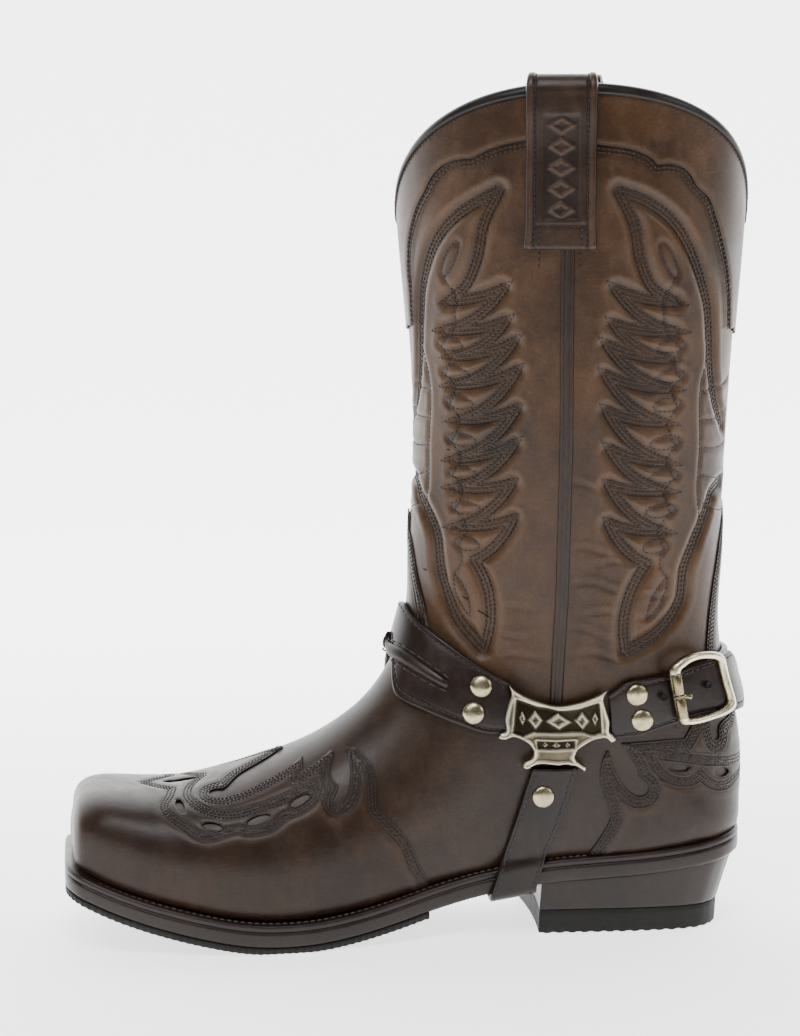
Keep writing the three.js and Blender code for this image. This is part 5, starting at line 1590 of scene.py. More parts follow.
# Strap under the waist
# It hangs from the plate's lower bar, runs over the sole's edge ahead of the heel and under
# the waist, stitched beside both edges.
SOLE_OUTLINE = [
    # share of the length from the back, half widths outwards and inwards
    (-0.0020, 8, 6), (0.0040, 19, 16), (0.0120, 24.5, 22), (0.0300, 31, 28.5), (0.0600, 35.3, 33),
    (0.1000, 37, 35),
    (0.1600, 37.5, 35.8), (0.2400, 36.6, 35), (0.3030, 36, 34), (0.3520, 35.5, 33), (0.4070, 36, 32.8),
    (0.4590, 37.8, 34.2),
    (0.5240, 41.6, 38), (0.5770, 45.5, 42.3), (0.6250, 48.3, 45.6), (0.6500, 49.5, 47.2),
    (0.6780, 50.4, 48.6),
    (0.7050, 50.9, 49.5), (0.7430, 51.2, 50.2), (0.7950, 50.8, 50.4), (0.8400, 49.5, 49.6),
    (0.8860, 47.2, 48),
    (0.9380, 43, 44.2), (0.9650, 40, 41), (0.9850, 36.2, 36), (0.9940, 31.5, 30), (0.9990, 25.5, 23),
    (1.0, 21, 18),
]
sole_widths = flowing([row[0] for row in SOLE_OUTLINE], [row[1:] for row in SOLE_OUTLINE])
UNDER_DOWN = np.array([78.5, 74, 70, 65, 60, 55])
UNDER_HALF = 10.4
UNDER_LEAN = 0.31
SOLE_DEPTH = 10.2
across = np.array([-1, -1, -0.985, -0.955, -0.91, -0.86, -0.81, -0.76, -0.66, -0.4, 0, 0.4, 0.66, 0.76,
                   0.81, 0.86, 0.91, 0.955, 0.985, 1, 1])
across_h = np.array([0, 0.45, 0.75, 0.93, 1.0, 0.97, 0.90, 0.98, 1.04, 1.08, 1.1, 1.08, 1.04, 0.98,
                     0.90, 0.97, 1.0, 0.93, 0.75, 0.45, 0])
UNDER_TURN = [
    # out from the sole's edge and over the welt's top, round the edge and under the outsole
    (0.3, 3.4), (1.0, 0.6), (1.0, -3), (0.8, -7), (0.3, -SOLE_DEPTH - 0.2), (-2.2, -SOLE_DEPTH - 1.3),
    (-12, -SOLE_DEPTH - 1.4),
]
under_rings = []
for side in (-1, 1):
    columns = []
    for w in across:
        x = -38.2 - (73 - UNDER_DOWN) * UNDER_LEAN + UNDER_HALF * w
        s, a = settle(np.stack([x, UNDER_DOWN], 1), (0, 2), side, high=STATIONS[24])
        down = skin(s, a) + outward(s, a) * STRAP_LIFT
        edge_x = -54.6 + UNDER_HALF * w
        half = sole_widths((HEEL_BACK - edge_x) / SOLE_LENGTH)[0 if side < 0 else 1]
        top = welt_top(edge_x)
        turn = [
            (edge_x + UNDER_LEAN * max(rise + SOLE_DEPTH, 0), side * (half + out), top + rise)
            for out, rise in UNDER_TURN + [(-half + 0.01, -SOLE_DEPTH - 1.4)]
        ]
        places = np.vstack([down, turn])
        keys = run_along(places)
        columns.append(flowing(keys / keys[-1], places)(np.linspace(0, 1, 84)))
    sheet = np.stack(columns, 1)
    under_rings.append(sheet if side < 0 else sheet[::-1])
sheet = np.vstack([under_rings[0], under_rings[1][1:]])
along_way = np.gradient(sheet, axis=0)
across_way = np.broadcast_to(sheet[:, -1:] - sheet[:, :1], sheet.shape)
normal = np.cross(across_way, along_way)
normal /= np.linalg.norm(normal, axis=-1, keepdims=True)
if normal[10, 10, 1] > 0:
    normal = -normal
rings = sheet + normal * (across_h * STRAP_THICK)[None, :, None]
make_piece("strap_under", *tube(rings), strap_leather, "strap_leather", replaces=["strap_under"])
stops, stop_normals = [], []
for column in (6, 14):
    line = np.hstack([rings[:, column], normal[:, column]])
    at = pitched(line, STRAP_PITCH)
    stops.append(at[..., :3])
    stop_normals.append(at[..., 3:])
points, faces = rods(np.concatenate(stops), np.concatenate(stop_normals), STRAP_STITCH)
make_piece("under_stitches", points, faces, strap_thread, "strap_leather")


# Cast plates
# One on each side joins the three straps: antiqued casting with a polished raised rim, bars
# at its three ends that the straps fold round, and a sunk dark field with plain lozenges.
def metal(name, deep, middle, bright, roughness, scratches=1.0):
    """Antiqued metal.

    Clouds darken the middle colour, one attribute polishes rims and raised faces to the bright
    one and attribute "deep" darkens hollows, which on the rivets is a painted shadow round their
    foot. Fine pits and scratches make the bump.
    """
    material, tree, shader = fresh_material(name, roughness, metallic=1.0)
    place = node(tree, "ShaderNodeTexCoord").outputs["Object"]
    clouds = noise(tree, place, 260, 5, 0.65)
    fine = noise(tree, place, 1500, 4, 0.7)
    colour = mixed(tree, ranged(tree, clouds, 0.38, 0.66), middle, tuple(c * 0.62 for c in middle))
    colour = mixed(tree, ranged(tree, share_of(tree, "wear_and_highlight"), 0, 1, 0, 0.9), colour, bright)
    colour = mixed(tree, ranged(tree, share_of(tree, "deep"), 0, 1, 0, 0.97), colour, deep)
    tree.links.new(colour, shader.inputs["Base Color"])
    rough = ranged(tree, clouds, 0.3, 0.7, roughness - 0.07, roughness + 0.16)
    tree.links.new(rough, shader.inputs["Roughness"])
    bump = bumped(tree, fine, 0.12 * scratches, 0.0003)
    tree.links.new(bumped(tree, clouds, 0.10 * scratches, 0.0008, bump), shader.inputs["Normal"])
    return material


plate_metal = metal("plate_metal", (0.010, 0.008, 0.005), (0.125, 0.105, 0.070), (0.62, 0.57, 0.42), 0.34)
PLATE_STROKES = [
    [(-56.6, 115.6), (-52, 112.2), (-44, 108.6), (-35, 107.2), (-26, 108.8), (-19, 111.6), (-13, 114.9)],
    [(-13, 114.9), (-15.2, 111.5), (-14.2, 106), (-12.6, 100), (-12.4, 95.5), (-10.6, 93.9), (-9.4, 91.6)],
    [(-9.4, 91.6), (-11.5, 90.6), (-13.8, 92.6), (-18.4, 92.0), (-23.2, 89.6), (-27.2, 86.4),
     (-28.0, 83.8), (-25.6, 81.2)],
    [(-25.6, 81.2), (-22.9, 79.4), (-23.6, 77.2)],
    [(-23.6, 77.2), (-27.0, 79.6), (-36, 80.4), (-45.5, 80.6), (-49.2, 78.6)],
    [(-49.2, 78.6), (-51.0, 79.4), (-50.9, 81.6), (-47.6, 83.6), (-46.4, 86), (-48.0, 89.2),
     (-51.6, 91.6), (-55.5, 92.6),
     (-58.5, 91.4)],
    [(-58.5, 91.4), (-61.6, 92.2), (-61.2, 94.2), (-58.8, 95.2), (-58.6, 101), (-57.2, 107),
     (-55.6, 111.5), (-56.6, 115.6)],
]
PANEL = [(-53.6, 109.6), (-44, 106.2), (-35, 104.9), (-26, 106.1), (-17.2, 109.2), (-15.8, 95.0),
         (-19.5, 93.4), (-24, 94.8),
         (-35, 94.4), (-46, 94.6), (-50.5, 92.9), (-55.4, 94.6)]
LOWER_PANEL = [(-45.2, 91.4), (-36, 91.0), (-27.6, 91.6), (-28.2, 87.6), (-36, 87.2), (-44.6, 87.4)]
PLATE_LOZENGES = [
    # middle, half width, half height, sides drawn in
    (-35, 99.7, 6.4, 4.0), (-45.4, 100.4, 3.6, 4.6), (-24.6, 100.6, 3.6, 4.6), (-51, 101.2, 1.5, 3.4),
    (-19.0, 101.6, 1.5, 3.4),
    (-36.3, 89.3, 2.2, 1.2), (-41.2, 89.4, 1.3, 1.2), (-31.4, 89.4, 1.3, 1.2),
]


def plate_profile(depth, bare):
    """Lift, dark and bright shares of the casting by the distance from its outline and the place."""
    x, z = bare[:, 0], bare[:, 2]
    flat = np.stack([x, z], 1)
    panel = np.full(len(x), -9.0)
    for shape in (PANEL, LOWER_PANEL):
        line = np.array(shape + shape[:1], float)
        away = np.abs(nearest(flat, line)[0])
        panel = np.maximum(panel, np.where(in_outline(line[:-1], x, z), away, -away))
    sunk = smooth_step(np.clip(panel / 0.7, 0, 1))
    stud = np.zeros(len(x))
    for middle_x, middle_z, half_x, half_z in PLATE_LOZENGES:
        away = 1 - np.abs(x - middle_x) / half_x - np.abs(z - middle_z) / half_z
        ridge = np.clip(away * 3.2, 0, 1)
        hollow = np.clip((away - 0.45) * 4, 0, 1)
        stud = np.maximum(stud, ridge - 0.75 * hollow)
    rim = bell(depth, 0.9, 0.8)
    border = bell(panel, -0.35, 0.5)
    round_edge = np.sqrt(np.clip(1 - (1 - np.clip(depth / 0.9, 0, 1)) ** 2, 0, 1))
    rise = ON_STRAP + 0.35 + 1.55 * round_edge + 0.75 * rim + 0.3 * border - 0.95 * sunk * (1 - stud)
    deep = np.clip(0.95 * sunk * (1 - stud) + 0.35 * bell(panel, -1.1, 0.5), 0, 1)
    wear_and_highlight = np.clip(rim + 0.55 * border + 0.55 * stud * sunk, 0, 1)
    return rise, deep, wear_and_highlight


for side, side_name in ((-1, "lateral"), (1, "medial")):
    edge = laid(PLATE_STROKES, side, step=0.5, axes=(0, 2), high=STATIONS[24])
    outline = np.stack(edge[:2], 1)
    low, high = outline.min(0), outline.max(0)
    net = even_net(np.linspace(low[0] - 1, high[0] + 1, 130), low[1] - 0.03, high[1] + 0.03, 130)
    cut_sheet(
        "plate_" + side_name, net, outline, [edge[2]], [], [], plate_metal, "plate_metal",
        base=ON_STRAP, profile=plate_profile,
    )


# Rivets
# Five domed rivets a side hold the straps, pale brass rubbed dull in the middle, with a painted shadow darkening
# the ring at their foot.
rivet_metal = metal(
    "rivet_metal", (0.04, 0.03, 0.015), (0.44, 0.385, 0.235), (0.76, 0.70, 0.50), 0.24, scratches=0.7,
)
RIVETS = [
    # name, place along, height
    ("front_upper", -68.3, 114.4), ("front_lower", -72.0, 102.7),
    ("back_upper", -0.9, 111.8), ("back_lower", 1.6, 100.2),
    ("under", -41.9, 66.0),
]
RIVET_CORNERS = 36
RIVET_SECTION = [(5.0, -0.6), (5.0, 0.35), (4.85, 0.75), (4.5, 1.15), (3.9, 1.5), (3.0, 1.85),
                 (1.8, 2.1), (0.6, 2.22), (0.05, 2.25)]
# Painted shadow: the rings at each rivet's foot and its lower hub darkened, as the shade round its base
RIVET_FOOT_SHADOW = np.concatenate([np.repeat([0.9, 0.5, 0.1, 0, 0, 0, 0, 0, 0], RIVET_CORNERS), [0.9, 0]])


def ring_about(way, turn, other=(0, 0, 1.0)):
    """Circle of one millimetre round a direction: cosine and sine of the turn on two axes across it."""
    first = np.cross(way, other)
    first /= np.linalg.norm(first)
    return np.cos(turn)[:, None] * first + np.sin(turn)[:, None] * np.cross(way, first)


for side, side_name in ((-1, "lateral"), (1, "medial")):
    for rivet_name, x, z in RIVETS:
        s, a = settle([(x, z)], (0, 2), side, high=STATIONS[24])
        up = outward(s, a)[0]
        seat = skin(s, a)[0] + up * (STRAP_LIFT + STRAP_THICK + 0.15)
        ring = ring_about(up, np.linspace(0, 2 * math.pi, RIVET_CORNERS, endpoint=False))
        node_name = "rivet_" + side_name + "_" + rivet_name
        make_piece(
            node_name, *tube(np.stack([seat + ring * radius + up * rise for radius, rise in RIVET_SECTION])),
            rivet_metal, "rivet_metal", values={"deep": RIVET_FOOT_SHADOW}, replaces=[node_name],
        )


# Buckle
# A cast frame bent to the ankle; its front bar carries a roller in two halves with the prong's
# eye between them. Places across it are taken in its own flat frame, backwards and up.
buckle_metal = metal("buckle_metal", (0.030, 0.022, 0.012), (0.27, 0.225, 0.130), (0.72, 0.66, 0.48), 0.24)
BUCKLE_PLACE = (34, -31, 110)
BUCKLE_TURN = math.radians(46)
BUCKLE_OUTER = [
    (-25.2, 12.8), (-21.9, 16.9), (-17, 19.3), (-11, 19.9), (-3.2, 19.0), (2.3, 17.0), (4.4, 13.4),
    (5.8, 4.2), (7.4, -4.4),
    (6.2, -7.6), (0.8, -9.4), (-7, -10.6), (-14.6, -11.8), (-19.4, -12.0), (-21.9, -10.4), (-24, 1.6),
]
BUCKLE_INNER = [
    (-22.4, 11.2), (-19.8, 14.2), (-15.6, 16.1), (-10.4, 16.5), (-4.2, 15.6), (-0.6, 14.0), (0.4, 11.8),
    (1.7, 3.6),
    (3.0, -3.2), (2.0, -5.0), (-1.2, -6.4), (-7.4, -7.7), (-13.8, -8.7), (-17.8, -9.0), (-19.6, -8.2),
    (-21.4, 1.3),
]
BUCKLE_LIFT = 6.9
BAR_LIFT = BUCKLE_LIFT + 1.7
FRAME_STEPS = 112
BUCKLE_LIMITS = {"low": STATIONS[18], "high": STATIONS[26], "span": (1.4, 3.35)}


def on_buckle(u, w, lift):
    """Points over the boot at places of the buckle's flat frame."""
    towards = np.array([[math.cos(BUCKLE_TURN), math.sin(BUCKLE_TURN), 0], [0, 0, 1]])
    origin = towards @ np.array(BUCKLE_PLACE, float)
    targets = np.stack([np.ravel(u), np.ravel(w)], 1) + origin
    s, a = settle(targets, towards, lift=np.ravel(lift), **BUCKLE_LIMITS)
    return (skin(s, a) + outward(s, a) * np.ravel(lift)[:, None]).reshape(*np.shape(u), 3)


def place_on_buckle(u, w, lift):
    """One point over the boot at a place of the buckle's flat frame."""
    return on_buckle(np.array([u]), np.array([w]), np.array([lift]))[0]


def round_corners(corners):
    """Even smooth loop through corners, carried on past both ends so that it closes softly."""
    turns = range(-2, len(corners) + 3)
    loop = flowing(np.array(turns, float), [corners[k % len(corners)] for k in turns])
    return loop(np.linspace(0, len(corners), FRAME_STEPS, endpoint=False))


outer, inner = round_corners(BUCKLE_OUTER), round_corners(BUCKLE_INNER)
middle, half = (outer + inner) / 2, (outer - inner) / 2
turn = np.linspace(0, 2 * math.pi, 14, endpoint=False)
squared = np.abs(np.cos(turn)) ** 0.75 * np.sign(np.cos(turn))
raised = np.abs(np.sin(turn)) ** 0.75 * np.sign(np.sin(turn))
u = middle[:, None, 0] + half[:, None, 0] * squared
w = middle[:, None, 1] + half[:, None, 1] * squared
lift = np.broadcast_to(BAR_LIFT + 1.75 * raised, u.shape)
make_piece(
    "buckle_frame", *tube(on_buckle(u, w, lift), closed=True), buckle_metal, "buckle_metal",
    replaces=["buckle_frame"], values={"wear_and_highlight": np.tile(np.clip(raised, 0, 1), FRAME_STEPS)},
)
bar_top = place_on_buckle(-23.4, 11.6, BAR_LIFT)
bar_low = place_on_buckle(-20.6, -9.6, BAR_LIFT)
bar_way = bar_low - bar_top
bar_length = np.linalg.norm(bar_way)
bar_way /= bar_length
bar_ring = ring_about(bar_way, turn)


def round_bar(stops):
    """A turned shape on the front bar: (share of its length, radius) rows."""
    rings = [bar_top + bar_way * bar_length * share + bar_ring * radius for share, radius in stops]
    return tube(np.stack(rings))


for piece_name, low, high in (("buckle_roller_upper", 0.02, 0.465), ("buckle_roller_lower", 0.535, 0.97)):
    stops = [(low, 1.2), (low, 2.1), (low + 0.02, 2.4), (high - 0.02, 2.4), (high, 2.1), (high, 1.2)]
    make_piece(piece_name, *round_bar(stops), buckle_metal, "buckle_metal", replaces=[piece_name], sharp=40)
PRONG_EYE = [(0.468, 1.2), (0.468, 2.2), (0.485, 2.6), (0.515, 2.6), (0.532, 2.2), (0.532, 1.2)]
PRONG_SECTION = [(0.1, 1.2), (0.72, 1.05), (0.80, 1.3), (0.9, 1.55), (1.0, 1.45), (1.08, 0.9), (1.1, 0.1)]
points, faces = round_bar(PRONG_EYE)
prong_root = bar_top + bar_way * bar_length * 0.5
prong_tip = place_on_buckle(-17.0, 0.3, BUCKLE_LIFT + 1.4)
reach = np.linalg.norm(prong_tip - prong_root)
prong_way = (prong_tip - prong_root) / reach
ring = ring_about(prong_way, turn, bar_way)
prong_rings = [prong_root + prong_way * reach * share + ring * radius for share, radius in PRONG_SECTION]
prong_points, prong_faces = tube(np.stack(prong_rings))
faces = [np.vstack([a, b + len(points)]) for a, b in zip(faces, prong_faces)]
make_piece(
    "buckle_prong", np.vstack([points, prong_points]), faces, buckle_metal, "buckle_metal",
    replaces=["buckle_prong"],
)
# The free end's two holes are near-black dished discs: painted shade standing for the dark inside each hole
HOLE_SECTION = [(1.75, -0.5), (1.75, 0.28), (1.45, 0.42), (1.2, 0.3), (1.1, 0.12)]
hole_points, hole_faces = [], []
for x, z in ((11.0, 110.6), (32.6, 114.2)):
    s, a = settle([(x, z)], (0, 2), -1, lift=7.3, **BUCKLE_LIMITS)
    up = outward(s, a)[0]
    seat = skin(s, a)[0] + up * (ON_STRAP + STRAP_THICK)
    ring = ring_about(up, turn)
    points, faces = tube(np.stack([seat + ring * radius + up * rise for radius, rise in HOLE_SECTION]))
    hole_faces += [face + sum(len(p) for p in hole_points) for face in faces]
    hole_points.append(points)
# Near-black finish of the holes: painted shade
hole_shadow = leather(
    "hole_shadow", (0.0008, 0.0006, 0.0005), (0.0012, 0.001, 0.0008), (0.002, 0.0015, 0.001),
    roughness=0.7, coat=0, ribs=False,
)
make_piece("strap_holes", np.vstack(hole_points), hole_faces, hole_shadow, "strap_leather")


# Sole
# A stitched leather welt, the outsole with its inked and waxed edge, and a rubber half sole
# with a fine toothed edge under the forefoot. All follow one outline.
def sole_loop(count=460):
    """The outline from above as an even closed line with its outward directions.

    It runs to the toe on the outer side and back on the inner, and is smoothed by three rounds
    in which each place moves halfway to the mean of its neighbours.
    """
    keys = np.array([row[0] for row in SOLE_OUTLINE])
    fine = np.interp(np.linspace(0, len(keys) - 1, 900), np.arange(len(keys)), keys)
    width = sole_widths(fine)
    x = HEEL_BACK - fine * SOLE_LENGTH
    line = np.vstack([np.stack([x, -width[:, 0]], 1), np.stack([x, width[:, 1]], 1)[::-1]])
    line = np.vstack([line, line[:1]])
    run = run_along(line)
    even = np.linspace(0, run[-1], count, endpoint=False)
    loop = np.stack([np.interp(even, run, line[:, c]) for c in (0, 1)], 1)
    for _ in range(3):
        loop = (np.roll(loop, 1, axis=0) + 2 * loop + np.roll(loop, -1, axis=0)) / 4
    way = np.roll(loop, -1, axis=0) - np.roll(loop, 1, axis=0)
    way /= np.linalg.norm(way, axis=1, keepdims=True)
    return loop, np.stack([-way[:, 1], way[:, 0]], 1)


FLOOR_GAP = 0.02
sole_line, sole_out = sole_loop()


def sole_ring(inset, rise):
    """A ring round the outline, drawn in and at a height over the welt's top."""
    height = np.maximum(welt_top(sole_line[:, 0]) + rise, FLOOR_GAP)
    return np.column_stack([sole_line - sole_out * inset, height])


sole_leather = leather(
    "sole_leather", (0.0070, 0.0036, 0.0026), (0.0140, 0.0078, 0.0058), (0.040, 0.023, 0.016),
    roughness=0.38, coat=0.12, grain=0.5, ribs=False,
)
WELT_SECTION = [(9, -0.4), (5.2, 0.1), (4.4, 0.32), (1.6, 0.30), (0.9, 0.12), (0.25, -0.25),
                (0.0, -0.8), (0.0, -2.2), (0.35, -2.85),
                (0.8, -3.0), (9, -3.0)]
welt_rings = np.stack([sole_ring(inset, rise) for inset, rise in WELT_SECTION], 1)
make_piece("welt", *tube(welt_rings, closed=True), sole_leather, "sole_leather", replaces=["welt"])
EDGE_SECTION = [(1.0, -3.05), (0.45, -3.2), (0.12, -3.6), (0.0, -4.6), (0.05, -8.2), (0.35, -9.5),
                (0.9, -10.1), (2, -10.2)]


# The outsole's edge is swept round, then closed above and below by even sheets
edge_rings = np.stack([sole_ring(inset, rise) for inset, rise in EDGE_SECTION], 1)
count, around = edge_rings.shape[:2]
points, (quads, _) = tube(edge_rings, closed=True)
quads = quads[np.arange(len(quads)) % around != around - 1]
i = np.arange(1, count // 2)
sheet = np.stack([i, (i + 1) % count, (count - i - 1) % count, count - i], 1) * around
outsole_faces = np.vstack([quads, sheet, sheet[:, ::-1] + around - 1])
make_piece("outsole", points, outsole_faces, sole_leather, "sole_leather", replaces=["outsole"])

HALF_SOLE_FROM = HEEL_BACK - 0.469 * SOLE_LENGTH
rubber = leather(
    "rubber", (0.0045, 0.0042, 0.0038), (0.0080, 0.0075, 0.0068), (0.020, 0.018, 0.016),
    roughness=0.62, coat=0.0, grain=1.2, ribs=False,
)


# The half sole follows the outline ahead of its back end, with a tooth at every second place
ahead = sole_line[:, 0] < HALF_SOLE_FROM
start = np.flatnonzero(ahead)[0]
fore_line = np.repeat(np.roll(sole_line, -start, axis=0)[:ahead.sum()], 2, axis=0)
fore_out = np.repeat(np.roll(sole_out, -start, axis=0)[:ahead.sum()], 2, axis=0)
fore_line[1:-1:2] = (fore_line[1:-1:2] + fore_line[2::2]) / 2
teeth = np.where(np.arange(len(fore_line)) % 4 < 2, 0.0, 0.55)
HALF_SECTION = [(0.5, -10.25, 0), (0.15, -10.6, 0), (0.1, -11.3, 0.4), (0.15, -12.7, 1.0),
                (0.6, -13.2, 1.0), (3, -13.2, 0)]
half_rings = []
for inset, rise, tooth in HALF_SECTION:
    xy = fore_line - fore_out * (inset + teeth * tooth)[:, None]
    height = np.maximum(welt_top(fore_line[:, 0]) + rise, FLOOR_GAP if rise < -13 else 0.3)
    half_rings.append(np.column_stack([xy, height]))
half_rings = np.stack(half_rings, 1)
count, around = half_rings.shape[:2]
i, j = np.meshgrid(np.arange(count), np.arange(around - 1), indexing="ij")
this, after = i * around + j, (i + 1) % count * around + j
quads = np.stack([this, this + 1, after + 1, after], -1).reshape(-1, 4)
i = np.arange(count // 2 - 1)
sheet = np.stack([i, i + 1, count - i - 2, count - i - 1], 1) * around
make_piece(
    "half_sole", half_rings, [quads, sheet[:, ::-1], sheet + around - 1], rubber, "rubber",
    replaces=["half_sole"], sharp=50,
)

# Welt stitching: one row of thick thread round the boot, in the groove of the welt's top
welt_line = sole_line - sole_out * 3.0
welt_path = np.column_stack([welt_line, welt_top(welt_line[:, 0]) + 0.28])
welt_path = np.vstack([welt_path, welt_path[:1]])
at = pitched(welt_path, 3.1)
welt_thread = thread_material("welt_thread", (0.060, 0.042, 0.030))
make_piece("welt_stitches", *rods(at, np.zeros_like(at) + (0, 0, 1), 0.45), welt_thread, "sole_leather")


# Heel
# Stacked leather block, inked and waxed like the sole's edge, over a black rubber lift with
# small notches at its foot. Both are drawn in towards the floor.
HEEL_BREAST = -40.0
LIFT_THICK = 10.9


ROUND_PLACES = 150


def heel_outline(count=ROUND_PLACES):
    """The heel's outline from above at the seat: round the back, straight across the breast."""
    keys = [row for row in SOLE_OUTLINE if row[0] < 0.3] + [((HEEL_BACK - HEEL_BREAST) / SOLE_LENGTH, 36, 34)]
    share = np.array([row[0] for row in keys])
    fine = np.interp(np.linspace(0, len(keys) - 1, 400), np.arange(len(keys)), share)
    width = sole_widths(fine)
    x = HEEL_BACK - fine * SOLE_LENGTH
    outer = np.stack([x, -width[:, 0]], 1)[::-1]
    inner = np.stack([x, width[:, 1]], 1)
    breast_y = np.linspace(inner[-1, 1], outer[0, 1], 40)[1:-1]
    bow = 1.6 * (1 - ((breast_y - breast_y.mean()) / 35.0) ** 2)
    breast = np.stack([np.full(38, HEEL_BREAST) + bow, breast_y], 1)
    line = np.vstack([outer, inner])
    run = run_along(line)
    even = np.linspace(0, run[-1], count)
    line = np.stack([np.interp(even, run, line[:, c]) for c in (0, 1)], 1)
    return np.vstack([line, breast])


heel_line = heel_outline()


def heel_ring(z, inset=0.0):
    """The heel's outline drawn in by its height; z may differ round the ring."""
    z = np.broadcast_to(z, len(heel_line))
    drawn = np.interp(-z, [-44, -26, -11, 0], [-0.05, 0.5, 0.93, 1.0])
    breast = HEEL_BREAST - 2 * drawn
    x = breast + (heel_line[:, 0] - HEEL_BREAST) * (1 - 0.087 * drawn)
    y = heel_line[:, 1] * (1 - 0.13 * drawn)
    xy = np.stack([x, y], 1)
    middle = xy.mean(0)
    shrink = 1 - inset / np.hypot(*(xy - middle).T)
    return np.column_stack([middle + (xy - middle) * shrink[:, None], z])


seat = welt_top(np.maximum(heel_line[:, 0], -60)) - SOLE_DEPTH - 0.1
BLOCK_SECTION = [
    # share of the way down, drawn in
    (0, 1.2), (0.0, 0.5), (0.02, 0.15), (0.06, 0), (0.2, 0), (0.4, 0), (0.6, 0), (0.8, 0), (0.93, 0),
    (0.985, 0.1), (1, 0.4), (1, 1.2),
]
LIFT_SECTION = [(LIFT_THICK, 1.2), (LIFT_THICK, 0.5), (LIFT_THICK - 0.4, 0.1), (8, 0), (3, 0)]
block_rings = [heel_ring(seat + (LIFT_THICK + 0.2 - seat) * down, inset) for down, inset in BLOCK_SECTION]
make_piece(
    "heel_block", *tube(np.stack(block_rings)), sole_leather, "sole_leather",
    replaces=["heel_block"], sharp=45,
)
places = np.arange(len(heel_line))
notch = np.where((places % 4 < 2) & (places < ROUND_PLACES), 0.28 * 1.6, 0.0)
lift_rings = [heel_ring(z, inset) for z, inset in LIFT_SECTION]
lift_rings += [heel_ring(z + notch, inset) for z, inset in ((0.25, 0.0), (FLOOR_GAP, 0.4), (FLOOR_GAP, 1.6))]
make_piece("heel_lift", *tube(np.stack(lift_rings)), rubber, "rubber", replaces=["heel_lift"], sharp=45)


# Pull straps
# A strap folded over the topline on each side, with turned and sewn borders, a sewn patch at
# its foot, and a pressed row of plain lozenges on its outer face.
PULL_HALF = 14.5
PULL_THICK = 2.6
PATCH_TOP = 319.3
PULL_PATH = [
    # lift over the skin and height, from the foot of the outer leg over the top to the inner leg's foot
    (2.1, 309), (2.1, 318), (2.1, 330), (2.2, 342), (2.3, 352), (3.2, 361), (4.0, 368), (4.1, 374),
    (4.0, 378), (2.2, 380.4),
    (-1.2, 381.2), (-4.4, 380.2), (-5.5, 377), (-5.4, 366), (-4.4, 350), (-4.1, 336), (-4.0, 322),
]
pull_leather = leather(
    "pull_leather", (0.0085, 0.0034, 0.0018), (0.0210, 0.0092, 0.0046), (0.085, 0.043, 0.022),
    roughness=0.42, coat=0.08, ribs=False,
)
path_keys = run_along(np.array(PULL_PATH))
PULL_STEPS = 190
run = np.linspace(0, path_keys[-1], PULL_STEPS)
path = flowing(path_keys, PULL_PATH)(run)
path_way = np.gradient(path, axis=0)
path_way /= np.linalg.norm(path_way, axis=1, keepdims=True)
path_out = np.stack([path_way[:, 1], -path_way[:, 0]], 1)
cross_w = np.concatenate([[-1], np.linspace(-1, 1, 67), [1]])
